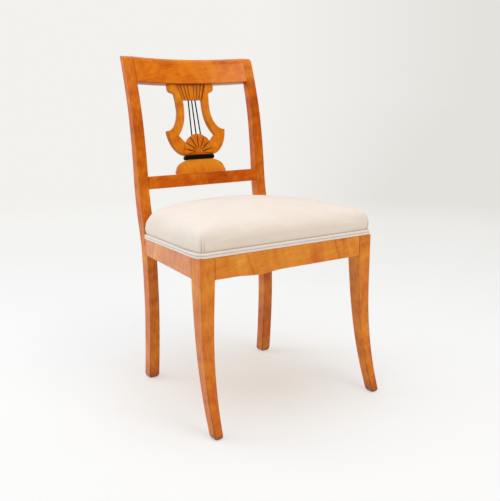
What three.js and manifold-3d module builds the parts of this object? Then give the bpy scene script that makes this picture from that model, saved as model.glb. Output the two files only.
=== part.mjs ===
// A dining chair in satin birch with a lyre in its back and a stuffed seat.
// Millimetres, +Z up, +Y to the back, +X to the right of someone who faces the chair.
// The frame is mortised and tenoned; the seat is webbing, hessian, stuffing and a cover.

import * as THREE from 'three';
import { mergeVertices } from 'three/addons/utils/BufferGeometryUtils.js';
import Module from 'manifold-3d';

const wasm = await Module();
wasm.setup();

// Overall sizes
const frontWidth = 507;          // over the front legs
const backWidth = 404;           // over the rear posts
const seatDepth = 366;           // front legs' faces to the rear posts' faces at the rails
const seatHeight = 412;          // floor to the top of the visible wood, at the front
const backHeight = 448;          // from there to the top of the back
const seatFall = 21.4;           // how much lower that edge is at the rear posts
const fit = 0.3;                 // gap between pieces that touch
const overrun = 3;               // how far a cutting shape runs past what it cuts
const chairHeight = seatHeight + backHeight;

// Front legs, sabre shaped
const legWidth = 38;
const legDepth = 42.3;
const legFootWidth = 21;
const legFootDepth = 26.8;
const legFootInset = 3;          // how much narrower the stance is at the floor, each side
const legSweep = 52;             // how far the foot stands ahead of the seat
const legSweepHeight = 303;      // the leg curves forward below this
const legSweepPower = 2.4;
const legTaperHeight = 345;      // the leg thins below this
const legTaperPower = 1.7;
const footEase = 3.5;            // bevel round the bottom of each foot
const arris = 1.6;               // softened edges of the wood

// Rear posts: leg and upright in one piece
const postWidth = 29;
const postFootDepth = 29;
const postSeatDepth = 32;
const postTopDepth = 19;
const postSeatShare = 0.52;      // the post is deepest at this share of its height
const backSweep = 100;           // how far the top lies behind the seat line
const topRound = 16;             // rounded front edge of the back's top
const topRoundShare = 0.8;       // how full that round is
const postCurveShares = [
  [0, 0.02], [0.102, -0.058], [0.227, -0.107], [0.341, -0.079], [0.431, -0.02], [0.512, 0.132],
  [0.591, 0.268], [0.705, 0.375], [0.819, 0.535], [0.909, 0.742], [1, 1],
];

// Seat rails
const railThickness = 22;
const frontRailHeight = 52;      // visible height below the upholstery
const sideRailRearHeight = 43.5;
const railSetback = 0.6;         // front rail behind the legs' faces
const railDroop = 4.5;           // the hand-shaped lower edge of the front rail hangs by this
const railDroopPlaceShare = -0.43;
const railDroopWidthShare = 0.33;
const tackingHeight = 12;        // rail that stands up behind the cover's edge
const rebate = 6;                // and how far it is set in
const rearRailInset = 4;         // rear rail's back face ahead of the posts' backs
const tenonThickness = 8;
const frontTenonLength = 18;
const sideTenonLength = 16;
const tenonShoulder = 8;

// Back rails
const lowerRailPlaceShare = 0.2335;   // its bottom edge, up the back from the seat's height
const lowerRailHeight = 33.4;
const lowerRailThickness = 26;
const crestHeight = 65.3;        // crest rail's front face, at the posts
const crestThickness = 22;
const crestBow = 18;             // how far its middle lies behind its ends
const crestRake = THREE.MathUtils.degToRad(18.4);
const crestSteps = 22;

// Lyre
const lyreRake = THREE.MathUtils.degToRad(13.4);
const lyreSetback = 12.5;        // behind the lower rail's front face
const lyreThickness = 13;
const plinthHeight = 37;
const plinthThickness = 13;
const plinthSetback = 0.5;
const plinthFootHalf = 77;
const plinthShoulderHalf = 74;
const plinthTopHalf = 37;
const plinthStepHeight = 9;
const plinthHollowShares = { drop: 0.72, level: 0.92, reach: 1.4 };
const collarHeight = 11;
const collarHalf = 45.5;
const collarThickness = 20;
const collarProud = 2.5;
const capitalHalf = 71.5;
const capitalHeight = 24.4;
const capitalRound = 13.5;
const waistHalf = 51;
const hornHalf = 91.7;
const hornHeightShare = 0.454;   // these shares go up the lyre from its collar to its fan
const waistHeightShare = 0.814;
const innerCurveShare = 0.54;
const bowlFootHalf = 42;
const bellyShares = { inner: 0.72, outer: 0.98, rise: 0.45, neck: 0.3 };
const windowTopHalf = 30.3;
const windowHornHalf = 57.5;
const windowHornHeightShare = 0.364;
const windowFootHeightShare = 0.242;
const windowFootHalf = 40.5;
const fanHeight = 42.9;
const fanTopHalf = 46;
const fanThickness = 8;
const fanSetback = 2;
const fanReeds = 9;
const fanReedDepth = 1.8;
const shellHalf = 47;
const shellStretch = 1.09;       // taller than a half circle
const shellCentreRise = 7.3;     // above the bowl's foot
const shellRelief = 4.5;
const shellLobes = 8;
const shellLobeDepth = 1.8;
const shellSpread = THREE.MathUtils.degToRad(194);
const shellDomeRadius = 400;     // the carving swells like a cap of this sphere
const shellDomeRings = 40;
const stringDiameter = 3;
const stringSeat = 5;            // how far a string enters its holes
const stringTopSpacing = 10.5;
const stringFootSpacing = 15;
const lyreTongueHalf = 18;
const lyreTongueThickness = 6;
const lyreTongueLength = 12;
const capitalTongueHalf = 7;

// Corner blocks and their screws
const blockLeg = 74;
const blockHeight = 30;
const screwLength = 30;
const screwDiameter = 3.8;
const screwHeadDiameter = 8;
const screwHeadHeight = 2.4;
const screwGrip = 14;            // length of each screw in its rail
const screwPlace = 47;           // from the corner, along the rail
const screwSides = 10;

// Upholstery
const strapWidth = 50;
const strapThickness = 1.5;
const strapsAlong = 3;
const strapsAcross = 3;
const strapSpacingAlong = 96;
const strapSpacingAcross = 92;
const hessianThickness = 1;
const coverThickness = 1.5;
const waddingThickness = 2;      // soft layer between the stuffing and the cover
const seatCornerRound = 14;
const cushionFront = 66;         // shoulder of the cushion above the visible wood, at the front
const cushionRear = 80;          // and at the back
const crown = 31;                // middle of the seat above its shoulder
const shoulderRound = 26;
const frontCornerSink = 5;       // how far the cushion's corners are pulled down
const rearCornerSink = 34;
const cornerSinkPower = 4;
const sideBulge = 2.2;
const pipingCord = 6.6;          // each of the two cords of the double piping
const pipingSides = 8;
const pipingPressShare = 0.94;   // the cords are pressed together to this share of their width

// Materials
const wood = (color) => new THREE.MeshStandardMaterial({ color, roughness: 0.38, metalness: 0 });
const birch = 0xd98535;
const birchShade = 0xc6721f;
const ebonised = 0x17110d;
const stringBrown = 0x3a2a1e;
const cream = 0xece2d4;
const jute = 0xb79a6b;
const hair = 0x8a7a64;
const beech = 0xc9a06a;
const steel = 0x8d8f92;
const cloth = (color) => new THREE.MeshStandardMaterial({ color, roughness: 0.9, metalness: 0 });
const metal = (color) => new THREE.MeshStandardMaterial({ color, roughness: 0.35, metalness: 1 });

// Mesh and solid helpers

function weld(geometry) {
  geometry.deleteAttribute('normal');
  geometry.deleteAttribute('uv');
  const merged = mergeVertices(geometry, fit / 100);
  const old = merged.index.array;
  const kept = [];
  for (let i = 0; i < old.length; i += 3) {
    const [a, b, c] = [old[i], old[i + 1], old[i + 2]];
    if (a !== b && b !== c && c !== a) kept.push(a, b, c);
  }
  merged.setIndex(kept);
  return facingOut(merged);
}

function facingOut(geometry) {
  const place = geometry.attributes.position;
  const order = geometry.index.array;
  const corner = [new THREE.Vector3(), new THREE.Vector3(), new THREE.Vector3()];
  let volume = 0;
  for (let i = 0; i < order.length; i += 3) {
    corner.forEach((v, k) => v.fromBufferAttribute(place, order[i + k]));
    volume += corner[0].dot(corner[1].clone().cross(corner[2])) / 6;
  }
  if (volume < 0) {
    for (let i = 0; i < order.length; i += 3) {
      [order[i], order[i + 1]] = [order[i + 1], order[i]];
    }
  }
  return geometry;
}

function solid(geometry) {
  const g = weld(geometry);
  const vertProperties = new Float32Array(g.attributes.position.array);
  const triVerts = new Uint32Array(g.index.array);
  return new wasm.Manifold(new wasm.Mesh({ numProp: 3, vertProperties, triVerts }));
}

function geometryOf(body) {
  const { vertProperties, triVerts } = body.getMesh();
  const g = new THREE.BufferGeometry();
  g.setAttribute('position', new THREE.BufferAttribute(vertProperties, 3));
  g.setIndex(new THREE.BufferAttribute(triVerts, 1));
  return g;
}

const cutFrom = (body, ...tools) => tools.flat().reduce((left, tool) => left.subtract(tool), body);
const joined = (body, ...more) => more.flat().reduce((all, piece) => all.add(piece), body);

function block(low, high, matrix) {
  const size = new THREE.Vector3().subVectors(high, low);
  const g = new THREE.BoxGeometry(size.x, size.y, size.z);
  g.translate((low.x + high.x) / 2, (low.y + high.y) / 2, (low.z + high.z) / 2);
  if (matrix) g.applyMatrix4(matrix);
  return solid(g);
}

const at = (x, y, z) => new THREE.Vector3(x, y, z);
const mirrorX = new THREE.Matrix4().makeScale(-1, 1, 1);
const sideName = (side) => (side < 0 ? 'left' : 'right');

// A side view, y across and z up, carried through the chair's width and centred on x = 0.
function acrossWidth(shape, width, edge = arris, segments = 2) {
  const g = new THREE.ExtrudeGeometry(shape, {
    depth: width - 2 * edge, steps: 1, curveSegments: 8,
    bevelEnabled: edge > 0, bevelThickness: edge, bevelSize: edge, bevelOffset: -edge,
    bevelSegments: segments,
  });
  g.translate(0, 0, edge - width / 2);
  const view = new THREE.Matrix4().makeBasis(at(0, 1, 0), at(0, 0, 1), at(1, 0, 0));
  return g.applyMatrix4(view);
}

// A front view, x across and z up, with its front face at y = 0 and its back at y = depth.
function throughDepth(shape, depth, edge = 0, curveSegments = 6) {
  const g = new THREE.ExtrudeGeometry(shape, {
    depth: depth - 2 * edge, steps: 1, curveSegments,
    bevelEnabled: edge > 0, bevelThickness: edge, bevelSize: edge, bevelOffset: -edge,
    bevelSegments: 1,
  });
  g.translate(0, 0, edge);
  g.rotateX(Math.PI / 2);
  return g.translate(0, depth, 0);
}

// A plan, carried up from z = 0.
const upFromPlan = (shape, height) =>
  new THREE.ExtrudeGeometry(shape, { depth: height, bevelEnabled: false, curveSegments: 6 });

const reshape = (geometry, move) => {
  const place = geometry.attributes.position;
  const v = new THREE.Vector3();
  for (let i = 0; i < place.count; i += 1) {
    v.fromBufferAttribute(place, i);
    move(v);
    place.setXYZ(i, v.x, v.y, v.z);
  }
  return geometry;
};

const shapeOf = (points) => new THREE.Shape(points.map(([x, y]) => new THREE.Vector2(x, y)));

// Plan of the seat frame

function insetOutline(corners, inset) {
  const line = (a, b) => {
    const along = b.clone().sub(a).normalize();
    const inward = new THREE.Vector2(-along.y, along.x);
    return { from: a.clone().addScaledVector(inward, inset), along };
  };
  return corners.map((corner, i) => {
    const before = line(corners.at(i - 1), corner);
    const after = line(corner, corners[(i + 1) % corners.length]);
    const gap = after.from.clone().sub(before.from);
    const reach = gap.cross(after.along) / before.along.cross(after.along);
    return before.from.clone().addScaledVector(before.along, reach);
  });
}

const seatPlaneAt = (y) => seatHeight - (seatFall * y) / seatDepth;
const seatTilt = Math.atan2(seatFall, seatDepth);
const seatFrame = new THREE.Matrix4()
  .makeRotationX(-seatTilt)
  .setPosition(0, 0, seatHeight);

// Rear posts

const postPoints = postCurveShares.map(([up, back]) =>
  new THREE.Vector2(seatDepth + back * backSweep, up * chairHeight));
const postCurve = new THREE.SplineCurve(postPoints).getPoints(44);

function postFront(z) {
  const above = Math.max(1, postCurve.findIndex((p) => p.y >= Math.min(z, chairHeight)));
  const [low, high] = [postCurve[above - 1], postCurve[above]];
  return THREE.MathUtils.mapLinear(z, low.y, high.y, low.x, high.x);
}

function postDepth(z) {
  const seat = postSeatShare * chairHeight;
  return z < seat
    ? THREE.MathUtils.mapLinear(z, 0, seat, postFootDepth, postSeatDepth)
    : THREE.MathUtils.mapLinear(z, seat, chairHeight, postSeatDepth, postTopDepth);
}

const postX = (backWidth - postWidth) / 2;
const postInner = backWidth / 2 - postWidth;

function postShape(extra = 0) {
  const front = postCurve.map((p) => new THREE.Vector2(p.x - extra, p.y));
  const back = postCurve.map((p) => new THREE.Vector2(p.x + postDepth(p.y) + extra, p.y)).reverse();
  const shape = new THREE.Shape();
  const startAt = front.findIndex((p) => p.y > footEase);
  shape.moveTo(front[0].x + footEase, 0);
  shape.lineTo(postFront(footEase) - extra, footEase);
  const topAt = chairHeight - topRound * Math.cos(crestRake);
  front.slice(startAt).filter((p) => p.y < topAt).forEach((p) => shape.lineTo(p.x, p.y));
  shape.lineTo(postFront(topAt) - extra, topAt);
  shape.quadraticCurveTo(postFront(chairHeight) - extra, chairHeight,
    postFront(chairHeight) + topRound * topRoundShare / Math.cos(crestRake) - extra, chairHeight);
  back.filter((p) => p.y > footEase).forEach((p) => shape.lineTo(p.x, p.y));
  shape.lineTo(back.at(-1).x, footEase);
  shape.lineTo(back.at(-1).x - footEase, 0);
  return shape;
}

const postSolid = (side, extra = 0) => solid(
  acrossWidth(postShape(extra), postWidth + 2 * extra).translate(side * postX, 0, 0));

// Front legs

const legForward = (z) =>
  (z < legSweepHeight ? legSweep * (1 - z / legSweepHeight) ** legSweepPower : 0);
const legDepthAt = (z) => {
  const share = Math.min(z / legTaperHeight, 1) ** legTaperPower;
  return legFootDepth + (legDepth - legFootDepth) * share;
};
const legStations = 20;
const legTop = seatHeight + tackingHeight;
const railFoot = seatHeight - frontRailHeight;
const frontLegX = frontWidth / 2;

function legShape() {
  const shape = new THREE.Shape();
  const heights = Array.from({ length: legStations + 1 }, (_, i) =>
    THREE.MathUtils.lerp(footEase, railFoot, i / legStations)).concat(legTop + overrun);
  shape.moveTo(footEase - legForward(0), 0);
  heights.forEach((z) => shape.lineTo(-legForward(z), z));
  heights.reverse().forEach((z) => shape.lineTo(legDepthAt(z) - legForward(z), z));
  shape.lineTo(legFootDepth - footEase - legForward(0), 0);
  return shape;
}

function legSolid(side) {
  const g = acrossWidth(legShape(), legWidth);
  reshape(g, (v) => {
    const share = Math.min(Math.max(v.z / railFoot, 0), 1);
    const width = legFootWidth + (legWidth - legFootWidth) * share;
    const outer = frontLegX - legFootInset * (1 - share);
    v.x = outer - (0.5 - v.x / legWidth) * width;
  });
  return side > 0 ? solid(g) : solid(g.applyMatrix4(mirrorX));
}

const legRoom = (side) => block(
  at(Math.min(side * (frontLegX - legWidth - fit), side * (frontLegX + overrun)), -overrun, railFoot / 2),
  at(Math.max(side * (frontLegX - legWidth - fit), side * (frontLegX + overrun)), legDepth + fit,
    legTop + 2 * overrun));

// Seat rails

const rearRailLevel = seatPlaneAt(seatDepth) - sideRailRearHeight / 2;
const rearRailBack = postFront(rearRailLevel) + postDepth(rearRailLevel) - rearRailInset;
const rearRailFront = rearRailBack - railThickness;

const legCorner = new THREE.Vector2(frontLegX, legDepth);
const postCorner = new THREE.Vector2(backWidth / 2, seatDepth);
const sideRun = postCorner.clone().sub(legCorner);
const sideAngle = Math.atan2(-sideRun.x, sideRun.y);
const sideTenonRun = sideTenonLength * Math.tan(sideAngle);
const rearTenonLength = postWidth - (railThickness + tenonThickness) / 2 - sideTenonRun - 1.5 * fit;
const rearHalf = backWidth / 2 - ((rearRailBack - seatDepth) * -sideRun.x) / sideRun.y;

function frameCorners() {
  const right = [[frontLegX, 0], [frontLegX, legDepth], [rearHalf, rearRailBack]];
  const left = right.map(([x, y]) => [-x, y]).reverse();
  return [...right, ...left].map(([x, y]) => new THREE.Vector2(x, y));
}

// What lies outside the rebate or above the tacking strip, cut off every rail and front leg.
function aboveSeat() {
  const reach = frontWidth + seatDepth;
  const room = block(at(-reach, -reach, 0), at(reach, reach, 3 * tackingHeight));
  const strip = upFromPlan(new THREE.Shape(seatStations(rebate)), tackingHeight + overrun);
  return cutFrom(room, solid(strip.translate(0, 0, -overrun))).transform(seatFrame.elements);
}
const seatCutter = aboveSeat();

// The side rail's own frame: x outwards from its outer face, y along it, z up.
const sideRailFrame = (side) => {
  const frame = new THREE.Matrix4().makeRotationZ(sideAngle).setPosition(legCorner.x, legCorner.y, 0);
  return side > 0 ? frame : new THREE.Matrix4().multiplyMatrices(mirrorX, frame);
};
const sideLength = sideRun.length();

function sideTenons(side, extra = 0) {
  const middle = -railThickness / 2;
  const [x0, x1] = [middle - tenonThickness / 2 - extra, middle + tenonThickness / 2 + extra];
  const low = railFoot + tenonShoulder - extra;
  const frontTop = seatHeight - tenonShoulder + extra;
  const rearLow = seatPlaneAt(seatDepth) - sideRailRearHeight + tenonShoulder - extra;
  const rearTop = seatPlaneAt(seatDepth) - tenonShoulder + extra;
  const frame = sideRailFrame(side);
  return [
    block(at(x0, -sideTenonLength - extra, low), at(x1, railThickness, frontTop), frame),
    block(at(x0, sideLength - railThickness, rearLow),
      at(x1, sideLength + sideTenonLength + extra, rearTop), frame),
  ];
}

function sideRail(side) {
  const length = sideLength + 2 * tenonThickness;
  const fall = (y) => seatPlaneAt(y) + tackingHeight + overrun;
  const rearFoot = seatPlaneAt(seatDepth) - sideRailRearHeight;
  const shape = shapeOf([
    [-tenonThickness, railFoot], [length - tenonThickness, rearFoot],
    [length - tenonThickness, fall(seatDepth)], [-tenonThickness, fall(0)],
  ]);
  const g = acrossWidth(shape, railThickness, arris / 2, 1).translate(-railThickness / 2, 0, 0);
  const body = solid(g.applyMatrix4(sideRailFrame(side)));
  const ended = cutFrom(body, legRoom(side), postSolid(side, fit));
  return cutFrom(joined(ended, sideTenons(side)), seatCutter);
}

const frontTenon = (side, extra = 0) => {
  const middle = railSetback + railThickness / 2;
  const inner = frontLegX - legWidth;
  const low = at(side > 0 ? inner - railThickness : -inner - frontTenonLength - extra,
    middle - tenonThickness / 2 - extra, railFoot + tenonShoulder - extra);
  const high = at(side > 0 ? inner + frontTenonLength + extra : -inner + railThickness,
    middle + tenonThickness / 2 + extra, seatHeight - tenonShoulder + extra);
  return block(low, high);
};

function frontRail() {
  const half = frontLegX - legWidth - fit;
  const place = railDroopPlaceShare * half;
  const width = railDroopWidthShare * half;
  const steps = 8;
  const droop = Array.from({ length: steps + 1 }, (_, i) => {
    const swing = (2 * i) / steps - 1;
    return [place + swing * width, railFoot - (railDroop * (1 + Math.cos(Math.PI * swing))) / 2];
  });
  const top = seatHeight + tackingHeight + overrun;
  const shape = shapeOf([[-half, railFoot], ...droop, [half, railFoot], [half, top], [-half, top]]);
  const body = solid(throughDepth(shape, railThickness, arris / 2).translate(0, railSetback, 0));
  return cutFrom(joined(body, frontTenon(-1), frontTenon(1)), seatCutter);
}

const rearTenon = (side, extra = 0) => {
  const middle = (rearRailFront + rearRailBack) / 2;
  const foot = seatPlaneAt(seatDepth) - sideRailRearHeight;
  const ends = [side * (postInner - railThickness), side * (postInner + rearTenonLength + extra)];
  return block(
    at(Math.min(...ends), middle - tenonThickness / 2 - extra, foot + tenonShoulder - extra),
    at(Math.max(...ends), middle + tenonThickness / 2 + extra,
      seatPlaneAt(seatDepth) - tenonShoulder + extra));
};

function rearRail() {
  const half = postInner - fit;
  const foot = seatPlaneAt(seatDepth) - sideRailRearHeight;
  const body = block(at(-half, rearRailFront, foot), at(half, rearRailBack, seatHeight));
  return cutFrom(joined(body, rearTenon(-1), rearTenon(1)), seatCutter);
}

// Lower back rail, leaning with the posts

const lowerRailFoot = seatHeight + lowerRailPlaceShare * backHeight;
const lowerRailRake = Math.atan2(
  postFront(lowerRailFoot + lowerRailHeight) - postFront(lowerRailFoot), lowerRailHeight);
const lowerRailFrame = new THREE.Matrix4()
  .makeRotationX(-lowerRailRake)
  .setPosition(0, postFront(lowerRailFoot), lowerRailFoot);

const lowerRailTenon = (side, extra = 0) => {
  const ends = [side * (postInner - railThickness), side * (postInner + rearTenonLength + extra)];
  const middle = lowerRailThickness / 2;
  return block(
    at(Math.min(...ends), middle - tenonThickness / 2 - extra, tenonShoulder - extra),
    at(Math.max(...ends), middle + tenonThickness / 2 + extra,
      lowerRailHeight - tenonShoulder + extra), lowerRailFrame);
};

function lowerRail() {
  const half = postInner - fit;
  const side = shapeOf([[0, 0], [lowerRailThickness, 0],
    [lowerRailThickness, lowerRailHeight], [0, lowerRailHeight]]);
  const ease = new THREE.ExtrudeGeometry(side, {
    depth: 2 * half, bevelEnabled: false,
  }).translate(0, 0, -half);
  ease.applyMatrix4(new THREE.Matrix4().makeBasis(at(0, 1, 0), at(0, 0, 1), at(1, 0, 0)));
  const body = solid(ease.applyMatrix4(lowerRailFrame));
  return cutFrom(joined(body, lowerRailTenon(-1), lowerRailTenon(1)), tongue('plinth', fit));
}

// Crest rail, bowed in the plane that leans with the posts' tops

const crestFoot = chairHeight - crestHeight;
const crestFrame = new THREE.Matrix4()
  .makeRotationX(-crestRake)
  .setPosition(0, postFront(crestFoot), crestFoot);
const crestHalf = postInner - fit;

function crestSolid(extra = 0) {
  const top = (chairHeight - crestFoot) / Math.cos(crestRake);
  const rise = crestThickness * Math.tan(crestRake);
  const side = new THREE.Shape();
  side.moveTo(-extra, -extra);
  side.lineTo(-extra, top - topRound);
  const roundEnd = topRound * topRoundShare;
  side.quadraticCurveTo(-extra, top, roundEnd, top + rise * roundEnd / crestThickness);
  side.lineTo(crestThickness + extra, top + rise);
  side.lineTo(crestThickness + extra, -extra);
  const g = new THREE.ExtrudeGeometry(side, {
    depth: 2 * crestHalf, steps: crestSteps, bevelEnabled: false, curveSegments: 5,
  }).translate(0, 0, -crestHalf);
  g.applyMatrix4(new THREE.Matrix4().makeBasis(at(0, 1, 0), at(0, 0, 1), at(1, 0, 0)));
  reshape(g, (v) => { v.y += crestBow * (1 - (v.x / crestHalf) ** 2); });
  return solid(g.applyMatrix4(crestFrame));
}

const crestTenon = (side, extra = 0) => {
  const ends = [side * (postInner - rearTenonLength), side * (postInner + rearTenonLength + extra)];
  const middle = crestThickness / 2;
  const high = (chairHeight - crestFoot) / Math.cos(crestRake) - 2 * tenonShoulder;
  return block(
    at(Math.min(...ends), middle - tenonThickness / 2 - extra, tenonShoulder - extra),
    at(Math.max(...ends), middle + tenonThickness / 2 + extra, high + extra), crestFrame);
};

// Lyre, in its own frame: x across, y from its front face to its back, z up its slope

const lyreFrame = new THREE.Matrix4()
  .makeRotationX(-lyreRake)
  .setPosition(0, postFront(lowerRailFoot + lowerRailHeight) + lyreSetback,
    lowerRailFoot + lowerRailHeight * Math.cos(lowerRailRake));
const lyreFrameBack = lyreFrame.clone().invert();

// The lyre's height: up its front face to the bowed crest rail's underside.
function lyreReach() {
  const foot = at(0, 0, 0).applyMatrix4(lyreFrame);
  const crest = at(0, crestBow, 0).applyMatrix4(crestFrame);
  const slope = Math.tan(crestRake);
  return (crest.z - foot.z - slope * (foot.y - crest.y))
    / (Math.cos(lyreRake) + slope * Math.sin(lyreRake));
}
const lyreHeight = lyreReach();
const bowlFoot = plinthHeight + collarHeight + fit;
const windowTop = lyreHeight - fanHeight;
const upTheArms = (share) => THREE.MathUtils.lerp(bowlFoot, windowTop, share);
const hornHeight = upTheArms(hornHeightShare);
const windowHornHeight = upTheArms(windowHornHeightShare);
const windowFoot = upTheArms(windowFootHeightShare);
const shellCentreHeight = bowlFoot + shellCentreRise;

// The tongues that hold the lyre: plinth in the lower rail, bowl through the collar, arms in the crest.
function tongue(where, extra = 0, side = 1) {
  const y0 = (lyreThickness - lyreTongueThickness) / 2 - extra;
  const y1 = y0 + lyreTongueThickness + 2 * extra;
  if (where === 'plinth') {
    return block(at(-lyreTongueHalf - extra, y0 + plinthSetback, -lyreTongueLength - extra),
      at(lyreTongueHalf + extra, y1 + plinthSetback, lyreTongueLength), lyreFrame);
  }
  if (where === 'bowl') {
    return block(at(-lyreTongueHalf - extra, y0, plinthHeight - lyreTongueLength - extra),
      at(lyreTongueHalf + extra, y1, plinthHeight + collarHeight + lyreTongueLength), lyreFrame);
  }
  const middle = (side * (capitalHalf + fanTopHalf)) / 2;
  return block(at(middle - capitalTongueHalf - extra, y0, lyreHeight - lyreTongueLength),
    at(middle + capitalTongueHalf + extra, y1, lyreHeight + lyreTongueLength + extra), lyreFrame);
}

function crestRail() {
  const body = joined(crestSolid(), crestTenon(-1), crestTenon(1));
  return cutFrom(body, tongue('arm', fit, -1), tongue('arm', fit, 1));
}

function lyreOutline() {
  const shape = new THREE.Shape();
  const capitalFoot = lyreHeight - capitalHeight;
  const armBow = capitalRound / 4;
  shape.moveTo(bowlFootHalf, bowlFoot);
  shape.bezierCurveTo(hornHalf * bellyShares.inner, bowlFoot + capitalRound / 8,
    hornHalf * bellyShares.outer, THREE.MathUtils.lerp(bowlFoot, hornHeight, bellyShares.rise),
    hornHalf, hornHeight);
  shape.bezierCurveTo(hornHalf * bellyShares.inner, hornHeight + arris, waistHalf + armBow,
    THREE.MathUtils.lerp(hornHeight, windowTop, bellyShares.neck),
    waistHalf, upTheArms(waistHeightShare));
  shape.quadraticCurveTo(waistHalf, windowTop, waistHalf + armBow, capitalFoot);
  shape.quadraticCurveTo(capitalHalf, capitalFoot + armBow, capitalHalf, capitalFoot + capitalRound);
  shape.lineTo(capitalHalf, lyreHeight + overrun);
  shape.lineTo(fanTopHalf + fit, lyreHeight + overrun);
  shape.lineTo(windowTopHalf + fit, windowTop);
  shape.bezierCurveTo(windowTopHalf - arris, (windowTop + hornHeight) / 2,
    windowTopHalf + armBow, upTheArms(innerCurveShare), windowHornHalf, windowHornHeight);
  shape.lineTo(windowFootHalf, windowFoot);
  const right = shape.getPoints(9);
  const left = right.slice().reverse().map((p) => new THREE.Vector2(-p.x, p.y));
  return new THREE.Shape([...right, ...left]);
}

const crestRoom = crestSolid(fit).transform(lyreFrameBack.elements);
const backToLyre = (body) => body.transform(lyreFrameBack.elements);

function lyreString(index, extra = 0) {
  const foot = at(index * stringFootSpacing, lyreThickness / 2, windowFoot - stringSeat - extra);
  const top = at(index * stringTopSpacing, lyreThickness / 2, windowTop + stringSeat + extra);
  const path = new THREE.LineCurve3(foot, top);
  const round = new THREE.Shape().absarc(0, 0, stringDiameter / 2 + extra, 0, 2 * Math.PI);
  return new THREE.ExtrudeGeometry(round, { steps: 1, extrudePath: path, curveSegments: 4 });
}
const stringPlaces = [-1, 0, 1];
const stringHoles = () => stringPlaces.map((i) => solid(lyreString(i, fit)));

function lyreBody() {
  const board = solid(throughDepth(lyreOutline(), lyreThickness, arris / 2));
  const tongues = [tongue('arm', 0, -1), tongue('arm', 0, 1), tongue('bowl')].map(backToLyre);
  return cutFrom(joined(cutFrom(board, crestRoom), tongues), stringHoles());
}

function fanPanel() {
  const reedHalf = 1 / fanReeds;
  const front = Array.from({ length: fanReeds * 4 + 1 }, (_, i) => {
    const x = (i / (fanReeds * 2)) - 1;
    const phase = ((x + 1) / (2 * reedHalf)) % 1;
    return [x * fanTopHalf, fanSetback + fanReedDepth * (1 - Math.sin(Math.PI * phase))];
  });
  const back = fanSetback + fanThickness;
  const plan = shapeOf([...front, [fanTopHalf, back], [-fanTopHalf, back]]);
  const height = lyreHeight - windowTop + overrun;
  const g = upFromPlan(plan, height);
  reshape(g, (v) => {
    v.x *= THREE.MathUtils.lerp(windowTopHalf, fanTopHalf, v.z / height) / fanTopHalf;
  });
  return cutFrom(solid(g.translate(0, 0, windowTop)), crestRoom, stringHoles());
}

function shellCarving() {
  const around = shellLobes * 4;
  const rim = [];
  for (let i = 0; i <= around; i += 1) {
    const angle = (Math.PI - shellSpread) / 2 + (shellSpread * i) / around;
    const lobe = Math.abs(Math.sin((Math.PI * shellLobes * i) / around));
    const reach = shellHalf - shellLobeDepth * (1 - lobe);
    rim.push(new THREE.Vector2(Math.cos(angle) * reach, Math.sin(angle) * reach * shellStretch));
  }
  const front = -shellRelief - fit;
  const flat = throughDepth(new THREE.Shape(rim), shellRelief).translate(0, front, shellCentreHeight);
  const dome = new THREE.SphereGeometry(shellDomeRadius, around, shellDomeRings);
  dome.translate(0, front + shellDomeRadius, shellCentreHeight);
  return solid(flat).intersect(solid(dome));
}

function collarBar() {
  const end = collarHeight / 2;
  const shape = shapeOf([[-collarHalf + end / 2, 0], [collarHalf - end / 2, 0], [collarHalf, end],
    [collarHalf - end / 2, collarHeight - fit], [-collarHalf + end / 2, collarHeight - fit],
    [-collarHalf, end]]);
  const bar = throughDepth(shape, collarThickness, arris)
    .translate(0, -collarProud, plinthHeight + fit / 2);
  return cutFrom(solid(bar), backToLyre(tongue('bowl', fit)));
}

function plinthBlock() {
  const top = plinthHeight - fit / 2;
  const shape = new THREE.Shape();
  shape.moveTo(plinthFootHalf, 0);
  shape.lineTo(plinthFootHalf, plinthStepHeight);
  shape.lineTo(plinthShoulderHalf, plinthStepHeight);
  shape.bezierCurveTo(plinthShoulderHalf, top * plinthHollowShares.drop,
    plinthTopHalf * plinthHollowShares.reach, top * plinthHollowShares.level, plinthTopHalf, top);
  const right = shape.getPoints(7);
  const left = right.slice().reverse().map((p) => new THREE.Vector2(-p.x, p.y));
  const body = throughDepth(new THREE.Shape([...right, ...left]), plinthThickness, 0)
    .translate(0, plinthSetback, 0);
  const lower = lowerRailRoom();
  return cutFrom(joined(cutFrom(solid(body), lower), backToLyre(tongue('plinth'))),
    backToLyre(tongue('bowl', fit)));
}

function lowerRailRoom() {
  const reach = plinthFootHalf + overrun;
  const room = block(at(-reach, -overrun, 0), at(reach, 2 * lowerRailThickness, lowerRailHeight + fit),
    lowerRailFrame);
  return backToLyre(room);
}

// Corner blocks and screws

function screwGeometry() {
  const r = screwDiameter / 2;
  const head = screwHeadDiameter / 2;
  const profile = [[0, -screwHeadHeight], [head, -screwHeadHeight], [head, -screwHeadHeight / 2], [r, 0],
    [r, screwLength - 2 * screwDiameter], [0, screwLength]];
  return new THREE.LatheGeometry(profile.map(([x, y]) => new THREE.Vector2(x, y)), screwSides);
}

function screwRoom(blockReach) {
  const r = screwDiameter / 2 + fit;
  const head = screwHeadDiameter / 2 + 2 * fit;
  const profile = [[0, -blockReach], [head, -blockReach], [head, -screwHeadHeight / 2],
    [r, fit], [r, screwLength - 2 * screwDiameter], [0, screwLength + 2 * fit]];
  return new THREE.LatheGeometry(profile.map(([x, y]) => new THREE.Vector2(x, y)), screwSides);
}

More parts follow.
